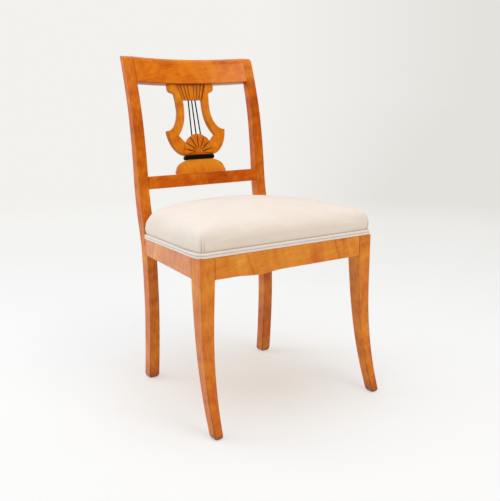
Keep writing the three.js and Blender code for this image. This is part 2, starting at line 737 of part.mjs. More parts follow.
// Each corner: where the rails' inner faces meet, and the two directions along them.
function cornerPlan(end) {
  const along = new THREE.Vector2(Math.sin(-sideAngle), Math.cos(sideAngle));
  const inward = new THREE.Vector2(-along.y, along.x);
  const inner = legCorner.clone().addScaledVector(inward, railThickness + fit);
  const face = end === 'front' ? railSetback + railThickness + fit : rearRailFront - fit;
  const corner = inner.clone().addScaledVector(along, (face - inner.y) / along.y);
  return { corner, alongSide: end === 'front' ? along : along.clone().negate() };
}

const blockFoot = (end) => (end === 'front'
  ? seatPlaneAt(legDepth) - blockHeight - railThickness / 2
  : seatPlaneAt(seatDepth) - blockHeight - railThickness / 4);

function blockPlaces() {
  return ['front', 'rear'].flatMap((end) => [-1, 1].map((side) => ({ end, side })));
}

// A screw's frame: its axis along +y of the lathe, pointing into the rail.
function screwFrames({ end, side }) {
  const { corner, alongSide } = cornerPlan(end);
  const z = blockFoot(end) + blockHeight / 2;
  const grip = screwLength - screwGrip;
  const towardsEnd = end === 'front' ? -1 : 1;
  const outwards = new THREE.Vector2(Math.abs(alongSide.y), alongSide.x * Math.sign(alongSide.y) * -1);
  const first = {
    from: new THREE.Vector2(corner.x - screwPlace, corner.y),
    into: new THREE.Vector2(0, towardsEnd),
  };
  const second = { from: corner.clone().addScaledVector(alongSide, screwPlace), into: outwards };
  return [first, second].map(({ from, into }) => {
    const head = from.clone().addScaledVector(into, -grip);
    const direction = at(into.x, into.y, 0);
    const frame = new THREE.Matrix4()
      .makeBasis(at(0, 0, 1), direction, at(0, 0, 1).cross(direction))
      .setPosition(head.x, head.y, z);
    return side > 0 ? frame : new THREE.Matrix4().multiplyMatrices(mirrorX, frame);
  });
}

const allScrewRooms = blockPlaces().flatMap((place) =>
  screwFrames(place).map((frame) => solid(screwRoom(blockLeg).applyMatrix4(frame))));

function cornerBlock({ end, side }) {
  const { corner, alongSide } = cornerPlan(end);
  const tip = corner.clone().addScaledVector(alongSide, blockLeg);
  const plan = new THREE.Shape([corner, tip, new THREE.Vector2(corner.x - blockLeg, corner.y)]);
  const g = upFromPlan(plan, blockHeight).translate(0, 0, blockFoot(end));
  const body = side > 0 ? solid(g) : solid(g.applyMatrix4(mirrorX));
  const keeper = end === 'front' ? legRoom(side) : postSolid(side, fit);
  return cutFrom(body, keeper, allScrewRooms);
}

// Upholstery, its flat layers in the seat's tilted frame

const railTopLevel = tackingHeight + fit;
const strapMiddle = railTopLevel + strapThickness / 2;
const weave = (strapThickness + fit) / 2 + fit / 4;

// A strap seen from its side: it lies on the rails at its ends and passes over and under the others.
function strapShape(from, to, crossings) {
  const lift = [[from, 0]];
  crossings.forEach(({ place, over }) => {
    const half = strapWidth / 2 + strapThickness;
    lift.push([place - half, over ? weave : -weave], [place + half, over ? weave : -weave]);
  });
  lift.push([to, 0]);
  const edge = (offset) => lift.map(([run, height]) => [run, strapMiddle + height + offset]);
  return shapeOf([...edge(-strapThickness / 2), ...edge(strapThickness / 2).reverse()]);
}

const strapPlaces = (count, pitch, middle) =>
  Array.from({ length: count }, (_, i) => middle + (i - (count - 1) / 2) * pitch);
const alongPlaces = strapPlaces(strapsAlong, strapSpacingAlong, 0);
const acrossPlaces = strapPlaces(strapsAcross, strapSpacingAcross, (railThickness + rearRailFront) / 2);

function strapAlong(i) {
  const crossings = acrossPlaces.map((place, j) => ({ place, over: (i + j) % 2 === 0 }));
  const shape = strapShape(2 * rebate, rearRailBack - 2 * rebate, crossings);
  const g = acrossWidth(shape, strapWidth, 0);
  return g.translate(alongPlaces[i], 0, 0);
}

function strapAcross(j) {
  const y = acrossPlaces[j];
  const half = frontLegX - ((y - legDepth) * -sideRun.x) / sideRun.y - 2 * rebate - strapThickness;
  const crossings = alongPlaces.map((place, i) => ({ place, over: (i + j) % 2 === 1 }));
  const g = throughDepth(strapShape(-half, half, crossings), strapWidth);
  return g.translate(0, y - strapWidth / 2, 0);
}

const hessianLevel = strapMiddle + weave + strapThickness / 2 + fit;

function hessianSheet() {
  const plan = new THREE.Shape(insetOutline(frameCorners(), rebate + pipingCord / 2));
  const g = upFromPlan(plan, hessianThickness).translate(0, 0, hessianLevel);
  const sheet = solid(g.applyMatrix4(seatFrame));
  return cutFrom(sheet, postSolid(-1, fit), postSolid(1, fit));
}

// The seat's plan with rounded front corners, as evenly kept stations that every layer shares.
function seatStations(inset) {
  const corners = insetOutline(frameCorners(), inset);
  const [frontRight, kink, rearRight] = corners;
  const round = Math.max(seatCornerRound - inset, overrun);
  const arc = 4;
  const half = [];
  const line = (a, b, count) => {
    for (let i = 0; i < count; i += 1) half.push(a.clone().lerp(b, i / count));
  };
  line(new THREE.Vector2(0, frontRight.y), new THREE.Vector2(frontRight.x - round, frontRight.y), 9);
  for (let i = 0; i < arc; i += 1) {
    const turn = (Math.PI / 2) * (i / arc);
    half.push(new THREE.Vector2(frontRight.x - round + round * Math.sin(turn),
      frontRight.y + round - round * Math.cos(turn)));
  }
  line(new THREE.Vector2(frontRight.x, frontRight.y + round), kink, 1);
  line(kink, rearRight, 9);
  line(rearRight, new THREE.Vector2(0, rearRight.y), 7);
  const mirrored = half.slice(1).reverse().map((p) => new THREE.Vector2(-p.x, p.y));
  return [...half, new THREE.Vector2(0, rearRight.y), ...mirrored];
}

const cushionCentre = new THREE.Vector2(0, rearRailBack / 2);
const cushionThickness = (y) => THREE.MathUtils.mapLinear(y, 0, rearRailBack, cushionFront, cushionRear);

// A closed form turned from rows: each row is a share of the way out to the seat's plan and a height.
function domed(rows) {
  const stations = rows.map((row) => seatStations(row.inset));
  const profile = rows.map((row, j) => new THREE.Vector2(row.share, j));
  const around = stations[0].length;
  const g = new THREE.LatheGeometry(profile, around);
  const place = g.attributes.position;
  for (let k = 0; k < place.count; k += 1) {
    const row = k % rows.length;
    const station = stations[row][Math.floor(k / rows.length) % around];
    const p = cushionCentre.clone().lerp(station, rows[row].share);
    place.setXYZ(k, p.x, p.y, rows[row].height(p.x, p.y));
  }
  return g;
}

// The cushion's top: a crown that dies away towards its edges, and corners pulled down.
function cushionTop(x, y) {
  const half = THREE.MathUtils.mapLinear(y, 0, rearRailBack, frontWidth / 2, rearHalf);
  const u = Math.min(Math.abs(x) / half, 1);
  const v = Math.min(Math.abs(y - cushionCentre.y) / cushionCentre.y, 1);
  const sink = y < cushionCentre.y ? frontCornerSink : rearCornerSink;
  return seatPlaneAt(y) + cushionThickness(y) + crown * (1 - u ** 2) * (1 - v ** 2)
    - sink * (u * v) ** cornerSinkPower;
}

// The cushion's rows from its side up to its middle, kept inside the cover by the inset.
function cushionRows(inset, under, crownRows) {
  const shoulderShare = 1 - shoulderRound / (frontWidth / 2);
  const turns = 4;
  const shoulder = Array.from({ length: turns + 1 }, (_, i) => {
    const turn = (Math.PI / 2) * (i / turns);
    return {
      inset: inset - (i === 0 ? sideBulge / 2 : 0),
      share: 1 - (1 - shoulderShare) * (1 - Math.cos(turn)),
      height: (x, y) => cushionTop(x, y) - under - shoulderRound * (1 - Math.sin(turn)),
    };
  });
  const top = Array.from({ length: crownRows }, (_, i) => ({
    inset,
    share: shoulderShare * (1 - (i + 1) / crownRows),
    height: (x, y) => cushionTop(x, y) - under,
  }));
  return [...shoulder, ...top];
}

const pipingHeight = 2 * pipingCord;
const coverInset = rebate - fit - coverThickness;

function seatCover() {
  const outer = [
    { inset: coverInset, share: 1, height: (x, y) => seatPlaneAt(y) + fit },
    { inset: coverInset, share: 1, height: (x, y) => seatPlaneAt(y) + pipingHeight },
    { inset: coverInset - sideBulge, share: 1,
      height: (x, y) => (seatPlaneAt(y) + pipingHeight + cushionTop(x, y) - shoulderRound) / 2 },
    ...cushionRows(coverInset, 0, 4),
  ];
  const inner = [
    { inset: coverInset + coverThickness, share: 1, height: (x, y) => seatPlaneAt(y) + fit },
    ...cushionRows(coverInset + coverThickness, coverThickness, 3),
  ];
  const shell = solid(domed([...inner.reverse(), ...outer]));
  return cutFrom(shell, postSolid(-1, 2 * fit), postSolid(1, 2 * fit));
}

function stuffing() {
  const under = coverThickness + waddingThickness;
  const foot = hessianLevel + hessianThickness + fit;
  const rows = [
    { inset: rebate + fit, share: 0, height: (x, y) => seatPlaneAt(y) + foot },
    { inset: rebate + fit, share: 1, height: (x, y) => seatPlaneAt(y) + foot },
    ...cushionRows(rebate + 2 * fit, under, 3),
  ];
  return cutFrom(solid(domed(rows)), postSolid(-1, 2 * fit), postSolid(1, 2 * fit));
}

// Double piping: two cords sewn side by side, one above the other along the cover's edge.
function pipingSection() {
  const r = pipingCord / 2;
  const points = [];
  [-1, 1].forEach((cord) => {
    for (let i = 0; i <= pipingSides - 2; i += 1) {
      const turn = ((i + 0.5 - (pipingSides - 1) / 2) / pipingSides) * 2 * Math.PI;
      points.push(new THREE.Vector2(cord * r * (pipingPressShare + Math.cos(turn)),
        cord * r * Math.sin(turn)));
    }
  });
  return new THREE.Shape(points);
}

// A curve through the stations that keeps the section upright all along.
function stationCurve(points) {
  const curve = new THREE.CatmullRomCurve3(points);
  curve.getPointAt = (t) => curve.getPoint(t);
  curve.getTangentAt = (t) => curve.getTangent(t);
  curve.computeFrenetFrames = (steps) => {
    const tangents = Array.from({ length: steps + 1 }, (_, i) => curve.getTangent(i / steps));
    const binormals = tangents.map((t) => t.clone().cross(at(0, 0, 1)).normalize());
    const normals = tangents.map((t, i) => binormals[i].clone().cross(t));
    return { tangents, normals, binormals };
  };
  return curve;
}

const pipingInset = coverInset - fit - pipingCord / 2;
const onPiping = (p) => at(p.x, p.y, seatPlaneAt(p.y) + pipingCord);

function pipingRun(points) {
  const curve = stationCurve(points);
  return new THREE.ExtrudeGeometry(pipingSection(), {
    steps: points.length - 1, extrudePath: curve, curveSegments: 1,
  });
}

function pipingFront() {
  const stations = seatStations(pipingInset);
  const stop = postFront(seatPlaneAt(seatDepth)) - 2 * fit;
  const right = stations.slice(1, stations.length / 2).filter((p) => p.x > 0 && p.y < stop - pipingCord);
  const last = right.at(-1);
  const toPost = sideRun.clone().setLength((stop - last.y) / Math.cos(sideAngle));
  const end = last.clone().add(toPost);
  const half = [...right, end];
  const left = half.map((p) => new THREE.Vector2(-p.x, p.y)).reverse();
  return pipingRun([...left, ...half].map(onPiping));
}

function pipingRear() {
  const y = rearRailBack - pipingInset;
  const half = postInner - 2 * fit;
  const steps = 6;
  const points = Array.from({ length: steps + 1 }, (_, i) =>
    at(THREE.MathUtils.lerp(half, -half, i / steps), y, seatPlaneAt(y) + pipingCord));
  return pipingRun(points);
}

// Assembly

const chair = new THREE.Group();
const seat = new THREE.Group();
const lyre = new THREE.Group();
seat.applyMatrix4(seatFrame);
lyre.applyMatrix4(lyreFrame);
chair.add(seat, lyre);

function add(parent, name, shape, material) {
  const geometry = shape.isBufferGeometry ? weld(shape) : geometryOf(shape);
  const mesh = new THREE.Mesh(geometry, material);
  mesh.name = name;
  mesh.geometry.computeVertexNormals();
  parent.add(mesh);
}

[-1, 1].forEach((side) => {
  const railTenons = sideTenons(side, fit);
  const leg = cutFrom(legSolid(side), seatCutter, frontTenon(side, fit), railTenons);
  const post = cutFrom(postSolid(side), railTenons, rearTenon(side, fit), lowerRailTenon(side, fit),
    crestTenon(side, fit));
  add(chair, `front_leg_${sideName(side)}`, leg, wood(birch));
  add(chair, `rear_post_${sideName(side)}`, post, wood(birchShade));
  add(chair, `side_rail_${sideName(side)}`, cutFrom(sideRail(side), allScrewRooms), wood(birch));
});
add(chair, 'front_rail', cutFrom(frontRail(), allScrewRooms), wood(birch));
add(chair, 'rear_rail', cutFrom(rearRail(), allScrewRooms), wood(birchShade));
add(chair, 'crest_rail', crestRail(), wood(birch));
add(chair, 'lower_back_rail', lowerRail(), wood(birchShade));

add(lyre, 'lyre_frame', lyreBody(), wood(birchShade));
add(lyre, 'lyre_fan', fanPanel(), wood(birchShade));
add(lyre, 'lyre_shell', shellCarving(), wood(birch));
add(lyre, 'lyre_collar', collarBar(), wood(ebonised));
add(lyre, 'lyre_plinth', plinthBlock(), wood(birch));
stringPlaces.forEach((i) => add(lyre, `lyre_string_${i + 2}`, lyreString(i), wood(stringBrown)));

blockPlaces().forEach((place) => {
  const name = `${place.end}_${sideName(place.side)}`;
  add(chair, `corner_block_${name}`, cornerBlock(place), wood(beech));
  screwFrames(place).forEach((frame, i) => {
    add(chair, `block_screw_${name}_${i + 1}`, screwGeometry().applyMatrix4(frame), metal(steel));
  });
});

alongPlaces.forEach((_, i) => add(seat, `webbing_along_${i + 1}`, strapAlong(i), cloth(jute)));
acrossPlaces.forEach((_, j) => add(seat, `webbing_across_${j + 1}`, strapAcross(j), cloth(jute)));
add(chair, 'hessian', hessianSheet(), cloth(jute));
add(chair, 'seat_stuffing', stuffing(), cloth(hair));
add(chair, 'seat_cover', seatCover(), cloth(cream));
add(chair, 'piping_front', pipingFront(), cloth(cream));
add(chair, 'piping_rear', pipingRear(), cloth(cream));

// The chair stands over its origin.
const extent = new THREE.Box3().setFromObject(chair);
chair.position.y = -(extent.min.y + extent.max.y) / 2;

export default chair;
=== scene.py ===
from math import acos, atan2, cos, exp, hypot, inf, pi, radians, sin, sqrt, tan

import bmesh
import bpy
import numpy as np
from mathutils import Matrix, Vector, noise
from mathutils.kdtree import KDTree


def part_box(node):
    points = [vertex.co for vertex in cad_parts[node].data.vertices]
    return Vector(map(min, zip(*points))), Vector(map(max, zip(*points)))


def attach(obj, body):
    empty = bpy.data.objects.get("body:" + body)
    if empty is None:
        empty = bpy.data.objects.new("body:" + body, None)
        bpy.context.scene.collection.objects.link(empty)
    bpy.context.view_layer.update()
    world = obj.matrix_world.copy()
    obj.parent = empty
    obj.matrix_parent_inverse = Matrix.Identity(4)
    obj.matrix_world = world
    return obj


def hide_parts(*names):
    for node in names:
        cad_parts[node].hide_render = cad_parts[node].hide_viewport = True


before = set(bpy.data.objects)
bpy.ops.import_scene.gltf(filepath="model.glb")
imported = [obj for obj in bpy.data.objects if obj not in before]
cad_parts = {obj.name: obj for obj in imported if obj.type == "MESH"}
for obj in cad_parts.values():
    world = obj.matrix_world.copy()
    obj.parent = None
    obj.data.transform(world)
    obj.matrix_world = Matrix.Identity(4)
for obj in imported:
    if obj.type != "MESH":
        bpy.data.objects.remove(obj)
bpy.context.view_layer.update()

# A lyre back dining chair in satin birch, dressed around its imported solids.
# Places are in the chair's own frame, in metres: x to the viewer's right, y back from the front legs' faces
# at the seat, z up from the floor. make_piece() moves them into the row frame.

# Sizes that the solids share
fit = 0.0003
overrun = 0.003
arris = 0.0016
foot_ease = 0.0035
seat_height = 0.412
seat_depth = 0.366
seat_fall = 0.0214
leg_depth = 0.0423
rail_thickness = 0.022
rail_setback = 0.0006
front_rail_height = 0.052
side_rail_rear_height = 0.0435
rail_droop = 0.0045
rail_droop_place_share = -0.43
rail_droop_width_share = 0.33
rear_rail_inset = 0.004
rebate = 0.006
tacking_height = 0.012
lower_rail_foot = 0.5166
lower_rail_height = 0.0334
lower_rail_thickness = 0.026
crest_height = 0.0653
crest_thickness = 0.022
crest_bow = 0.018
crest_rake = radians(18.4)
top_round = 0.016
top_round_share = 0.8
lyre_rake = radians(13.4)
lyre_setback = 0.0125
lyre_thickness = 0.013

# Sizes of the finish
keep = 0.0005                               # flats stay flat up to this far from a rounded edge
foot_round, foot_reach = 0.010, 0.0065      # feet are worn rounder than the solid's ease: height and inset
joint_line = 0.0014
# painted shade on the rounded edges and sides of the lyre's boards
rim_painted_shade = 0.4

# Places read from the frame
front_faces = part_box("front_rail")[0].y - rail_setback
chair_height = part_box("crest_rail")[1].z
leg_inner, front_half = (corner.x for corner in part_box("front_leg_right"))
post_inner, post_outer = (corner.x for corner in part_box("rear_post_right"))
rail_foot = seat_height - front_rail_height
rail_half = post_inner - fit


def side_name(side):
    return "left" if side < 0 else "right"


def lerp(a, b, share):
    return a + (b - a) * share


def turns(steps):
    """Angles from 0 to a quarter turn."""
    return [pi / 2 * i / steps for i in range(steps + 1)]


def circle(radius, sides):
    return [(radius * cos(2 * pi * k / sides), radius * sin(2 * pi * k / sides))
            for k in range(sides)]


def seat_plane(y):
    """Top edge of the visible wood of the seat."""
    return seat_height - seat_fall * y / seat_depth


# Reading the solids

def section(node, height):
    """Lowest and highest corner of a node's level cut, in the chair's own frame."""
    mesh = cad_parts[node].data
    points = np.array([v.co for v in mesh.vertices], float)
    a, b = points[[e.vertices[0] for e in mesh.edges]], points[[e.vertices[1] for e in mesh.edges]]
    crosses = (a[:, 2] - height) * (b[:, 2] - height) < 0
    a, b = a[crosses], b[crosses]
    share = (height - a[:, 2]) / (b[:, 2] - a[:, 2])
    cut = a + (b - a) * share[:, None] - (0, front_faces, 0)
    return cut.min(0), cut.max(0)


def smooth_curve(levels, values):
    """A function that runs smoothly through values at rising levels."""
    slopes = np.gradient(values, levels)

    def at(level):
        i = int(np.clip(np.searchsorted(levels, level) - 1, 0, len(levels) - 2))
        span = levels[i + 1] - levels[i]
        t = min(max((level - levels[i]) / span, 0), 1)
        start = (1 + 2 * t) * (1 - t) ** 2 * values[i] + t * (1 - t) ** 2 * span * slopes[i]
        end = t * t * (3 - 2 * t) * values[i + 1] + t * t * (t - 1) * span * slopes[i + 1]
        return float(start + end)

    return at


def section_curves(node, low, high, count):
    """Smooth curves of a node's x and y reach against height."""
    levels = np.linspace(low, high, count)
    least, most = zip(*[section(node, z) for z in levels])
    reaches = {"inner": (least, 0), "outer": (most, 0), "front": (least, 1), "back": (most, 1)}
    return {name: smooth_curve(levels, [corner[axis] for corner in corners])
            for name, (corners, axis) in reaches.items()}


top_drop = top_round * cos(crest_rake)
top_run = top_round * top_round_share / cos(crest_rake)
top_start = chair_height - top_drop
post = section_curves("rear_post_right", foot_ease + arris, top_start, 38)
leg = section_curves("front_leg_right", foot_ease + arris, rail_foot, 26)

rear_rail_foot = seat_plane(seat_depth) - side_rail_rear_height
rear_rail_back = post["back"](seat_plane(seat_depth) - side_rail_rear_height / 2) - rear_rail_inset
leg_corner = Vector((front_half, leg_depth))
side_run = Vector((post_outer, seat_depth)) - leg_corner
rear_half = post_outer + (rear_rail_back - seat_depth) * side_run.x / side_run.y


def tilted(rake, y, z):
    """A frame that leans back by rake about a line across the chair."""
    return Matrix.Translation((0, y, z)) @ Matrix.Rotation(-rake, 4, "X")


lower_rail_top = lower_rail_foot + lower_rail_height
crest_foot = chair_height - crest_height
lower_rail_lean = post["front"](lower_rail_top) - post["front"](lower_rail_foot)
lower_rail_rake = atan2(lower_rail_lean, lower_rail_height)
seat_frame = tilted(atan2(seat_fall, seat_depth), 0, seat_height)
lower_rail_frame = tilted(lower_rail_rake, post["front"](lower_rail_foot), lower_rail_foot)
crest_frame = tilted(crest_rake, post["front"](crest_foot), crest_foot)
lyre_frame = tilted(lyre_rake, post["front"](lower_rail_top) + lyre_setback,
                    lower_rail_foot + lower_rail_height * cos(lower_rail_rake))


# Making meshes

def bezier(points, steps):
    """Points of the curve that a few control points make, both ends included."""
    made = []
    for i in range(steps + 1):
        level = [Vector(p) for p in points]
        while len(level) > 1:
            level = [a.lerp(b, i / steps) for a, b in zip(level, level[1:])]
        made.append(tuple(level[0]))
    return made


def closed_mesh(name, rings, shift=0):
    """A closed form over rings of equal length, its two ends filled, moved back by shift."""
    count = len(rings[0])
    points = [(x, y + shift, z) for ring in rings for x, y, z in ring]
    faces = [tuple(reversed(range(count)))]
    for start in range(0, len(points) - count, count):
        for i in range(count):
            j = (i + 1) % count
            faces.append((start + i, start + j, start + count + j, start + count + i))
    faces.append(tuple(range(len(points) - count, len(points))))
    mesh = bpy.data.meshes.new(name)
    mesh.from_pydata(points, [], faces)
    shape = bmesh.new()
    shape.from_mesh(mesh)
    bmesh.ops.triangulate(shape, faces=[f for f in shape.faces if len(f.verts) > 4])
    bmesh.ops.recalc_face_normals(shape, faces=shape.faces)
    shape.to_mesh(mesh)
    shape.free()
    return mesh


def in_scene(name, data):
    thing = bpy.data.objects.new(name, data)
    bpy.context.scene.collection.objects.link(thing)
    return thing


def make_piece(node, suffix, rings, sharp=38, stands_for=None):
    """A piece in the row frame that stands for CAD nodes, in the finish that its suffix has."""
    name = f"{node}_{suffix}"
    mesh = closed_mesh(name, rings, front_faces)
    mesh.shade_smooth()
    mesh.set_sharp_from_angle(angle=radians(sharp))
    piece = in_scene(name, mesh)
    slot, material = finishes[suffix]
    mesh.materials.append(material)
    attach(piece, "root")
    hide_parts(*(stands_for or [node]))
    return piece


def mark(piece, **values):
    """Keeps a number or vector for each point of a piece, for its material to read."""
    for name, value in values.items():
        value = np.asarray(value, np.float32)
        kind, field = ("FLOAT_VECTOR", "vector") if value.ndim == 2 else ("FLOAT", "value")
        piece.data.attributes.new(name, kind, "POINT").data.foreach_set(field, value.ravel())


def wooden(node, rings, along, face, seed, suffix="birch", sharp=38, **looks):
    """A piece with the wood's own directions at each point: across, into the face, and along the grain.
    Looks are a number, a list for the points, or a function of x and z: tone runs from dark to light, figure
    says how strongly the flame bands show, red how ruddy the wood is, polish how thick its clear coat is,
    worn where its edges are, and the darkening mark where its joint lines are dark and where shade is painted
    into grooves, at board edges, along the crest rail's lower edge and on the fan under it."""
    piece = make_piece(node, suffix, rings, sharp)
    along, face = Vector(along).normalized(), Vector(face).normalized()
    across = along.cross(face).normalized()
    axes = np.array([across, across.cross(along), along])
    points = np.array([v.co for v in piece.data.vertices])
    offset = np.random.default_rng(seed).uniform(-3, 3, 3)
    mark(piece, grain=points @ axes.T + offset)
    plain = {"tone": 0, "figure": 0.5, "red": 0, "polish": 0.45, "worn": 0, "cavity": 0}
    for name, value in (plain | looks).items():
        value = value(points[:, 0], points[:, 2]) if callable(value) else value
        mark(piece, **{name: np.ones(len(points)) * value})
    return piece


# Directions in a section
east, west, north, south = (1, 0), (-1, 0), (0, 1), (0, -1)


def quarter(x, y, first, second, radius=arris, steps=4, wear=None):
    """A square corner rounded from its side along first to its side along second, as (x, y, wear)."""
    made = []
    for turn in turns(steps):
        a, b = radius * (1 - sin(turn)), radius * (1 - cos(turn))
        worn = sin(2 * turn) if wear is None else wear
        made.append((x + first[0] * a + second[0] * b, y + first[1] * a + second[1] * b, worn))
    return made


def rounded_ring(x0, x1, y0, y1, radius=arris):
    """A rounded rectangle as (x, y), with points beside each round that keep the flats flat."""
    ring = []
    beside = radius + keep
    for x, y, first, second in ((x1, y0, west, north), (x1, y1, south, west),
                                (x0, y1, east, south), (x0, y0, north, east)):
        ring.append((x + first[0] * beside, y + first[1] * beside))
        ring += [(a, b) for a, b, _ in quarter(x, y, first, second, radius)]
        ring.append((x + second[0] * beside, y + second[1] * beside))
    return ring


def ring_wear(rings):
    """How worn the points of rounded rings are."""
    return ([0] + [sin(2 * turn) ** 0.5 for turn in turns(4)] + [0]) * 4 * len(rings)


# Posts and legs

def foot_turns():
    """The worn round under a foot as (height, inset)."""
    return [(foot_round * (1 - cos(turn)), foot_reach * (1 - sin(turn))) for turn in turns(7)]


def rear_post(side):
    """Leg and upright in one piece, from its worn foot to the rounded front edge of its top."""
    front, back = post["front"], post["back"]
    rows = [(z, inset, front(z) + inset, back(z) - inset, arris + inset) for z, inset in foot_turns()]
    rows += [(z, 0, front(z), back(z), arris) for z in np.linspace(foot_round, top_start, 100)[1:]]
    start = front(top_start)
    lean = start - front(top_start - top_drop)
    control = [(top_start, start), (chair_height, start + lean), (chair_height, start + lean + top_run)]
    for z, y in bezier(control, 9)[1:]:
        up = min(max((z - chair_height) / arris + 1, 0), 1)
        inset = arris * (1 - sqrt(1 - up * up))
        rows.append((z, inset, y, back(top_start) + lean * (z - top_start) / top_drop - inset, arris))
    rings = []
    for z, inset, y0, y1, radius in rows:
        ring = rounded_ring(post_inner + inset, post_outer - inset, y0, y1, radius)
        rings.append([(side * x, y, z) for x, y in ring])

    def by_height(below, above, beside_crest):
        """A look that changes behind the seat and again where the crest rail starts."""
        upright_start, upright_run, crest_run = 0.35, 0.25, 0.012
        return lambda x, z: lerp(
            lerp(below, above, np.clip((z - upright_start) / upright_run, 0, 1)),
            beside_crest, np.clip((z - crest_foot) / crest_run, 0, 1))

    wooden(f"rear_post_{side_name(side)}", rings, (0, 0.08, 1), (side, 0.35, 0), 11 + side,
           tone=by_height(-0.75, -1.75, -0.8 + 0.4 * side), figure=0.4, worn=ring_wear(rings), red=0.3,
           polish=by_height(0.4, 0.0, 0.2 + 0.2 * side))


def front_leg(side):
    """Sabre leg, with the set-in strip at its top that the cover is tacked to."""
    rings = []

    def add(inner, outer, front, back, height, radius=arris):
        ring = rounded_ring(inner, outer, front, back, radius)
        rings.append([(side * x, y, height(y)) for x, y in ring])

    def add_level(z, inset=0):
        add(leg["inner"](z) + inset, leg["outer"](z) - inset, leg["front"](z) + inset, leg["back"](z) - inset,
            lambda y: z, arris + inset)

    for z, inset in foot_turns():
        add_level(z, inset)
    for z in np.linspace(foot_round, rail_foot, 60)[1:]:
        add_level(z)
    edge, sliver = arris / 2, 0.0002
    for share in (0.3, 0.6, 0.9, 0.98):
        add(leg_inner, front_half, 0, leg_depth, lambda y: lerp(rail_foot, seat_plane(y) - edge, share))
    for inset, drop, _ in quarter(0, 0, north, east, edge, 3):
        add(leg_inner, front_half - inset, inset, leg_depth, lambda y: seat_plane(y) - drop)
    for rise in (0, sliver, tacking_height - sliver, tacking_height):
        add(leg_inner, front_half - rebate, rebate, leg_depth, lambda y: seat_plane(y) + rise)
    wooden(f"front_leg_{side_name(side)}", rings, (0, -0.05, 1), (side * 0.4, 1, 0), 21 + side,
           tone=lambda x, z: lerp(-1.35 - 0.25 * side, 0.2, np.minimum(z / rail_foot, 1)),
           worn=ring_wear(rings))


# Rails of the seat

def rail_profile():
    """A rail's section as (depth from its outer face, share of its height, further rise, wear)."""
    def rounded(depth, share, first, second, radius=arris, steps=4):
        return [(d, share, rise, wear) for d, rise, wear in quarter(depth, 0, first, second, radius, steps)]

    small, back = arris / 2, rail_thickness
    return [
        *rounded(0, 0, east, north), (0, 0, arris + keep, 0), (0, 0.5, 0, 0), (0, 1, -small - keep, 0),
        *rounded(0, 1, south, east, small, 3), (rebate, 1, 0, 0), (rebate, 1, tacking_height, 0),
        (back, 1, tacking_height, 0), (back, 0.5, 0, 0), (back, 0, arris + keep, 0),
        *rounded(back, 0, north, west), (back - arris - keep, 0, 0, 0), (arris + keep, 0, 0, 0)]


def joint_shares(length, steps):
    """Places along a rail, with one just inside each end for the dark line of its joint."""
    near = joint_line / length
    return [0, *np.linspace(near, 1 - near, steps), 1]


def joint_marks(rings):
    """The darkening mark of a rail's points: dark at its two ends only, for its joint lines."""
    return [0.4 if i in (0, len(rings) - 1) else 0 for i, ring in enumerate(rings) for _ in ring]


def seat_rail(node, place, foot, steps, along, face, seed, tone):
    """place(share, depth, share of height) gives x and y; foot(x, y) gives the lower edge."""
    profile = rail_profile()
    rings = []
    for share in joint_shares(side_run.y, steps):
        ring = []
        for depth, up, rise, _ in profile:
            x, y = place(share, depth, up)
            ring.append((x, y, lerp(foot(x, y), seat_plane(y), up) + rise))
        rings.append(ring)
    wooden(node, rings, along, face, seed, tone=tone, figure=1.0, worn=[p[3] for p in profile] * len(rings),
           cavity=joint_marks(rings))


def front_rail():
    half = leg_inner - fit

    def foot(x, y):
        swing = (x - rail_droop_place_share * half) / (rail_droop_width_share * half)
        droop = rail_droop * (1 + cos(pi * swing)) / 2 if abs(swing) < 1 else 0
        return rail_foot - droop

    def place(share, depth, up):
        return lerp(-half, half, share), rail_setback + depth

    seat_rail("front_rail", place, foot, 60, (1, 0, 0.02), (0, 1, 0), 31, 0.8)


def rear_rail():
    def place(share, depth, up):
        return lerp(-rail_half, rail_half, share), rear_rail_back - depth

    seat_rail("rear_rail", place, lambda x, y: rear_rail_foot, 12, (1, 0, 0), (0, 1, 0), 32, -0.3)


def side_rail(side):
    along = side_run.normalized()
    inward = Vector((-along.y, along.x))

    def place(share, depth, up):
        start = leg_corner + inward * depth
        stop = post["front"](lerp(rear_rail_foot, seat_plane(seat_depth), up)) - fit
        reach = lerp((leg_depth + fit - start.y) / along.y, (stop - start.y) / along.y, share)
        return side * (start.x + along.x * reach), start.y + along.y * reach

    def foot(x, y):
        return lerp(rail_foot, rear_rail_foot, (y - leg_depth) / side_run.y)

    seat_rail(f"side_rail_{side_name(side)}", place, foot, 24,
              (side * along.x, along.y, -0.05), (side, 0, 0), 41 + side, -0.1)


# Back rails

def crest_profile():
    """The crest rail's side view in its own frame as (y, z, wear)."""
    top = crest_height / cos(crest_rake)
    rise = crest_thickness * tan(crest_rake)
    back = crest_thickness
    round_end = top_round * top_round_share
    round_top = top + rise * round_end / back
    control = [(0, top - top_round), (0, top), (round_end, round_top)]
    back_wear = 0.6
    return [
        *quarter(0, 0, east, north), (0, arris + keep, 0), (0, top / 2, 0), (0, top - top_round - keep, 0),
        *[(y, z, 0.5) for y, z in bezier(control, 9)],
        (round_end + keep * cos(crest_rake), round_top + keep * sin(crest_rake), 0),
        (back - 2 * arris, lerp(top, top + rise, 1 - 2 * arris / back), 0),
        *quarter(back, top + rise - arris, west, south, wear=back_wear), (back, top / 2, 0),
        (back, arris + keep, 0), *quarter(back, 0, north, west, wear=back_wear),
        (back - arris - keep, 0, 0), (arris + keep, 0, 0)]


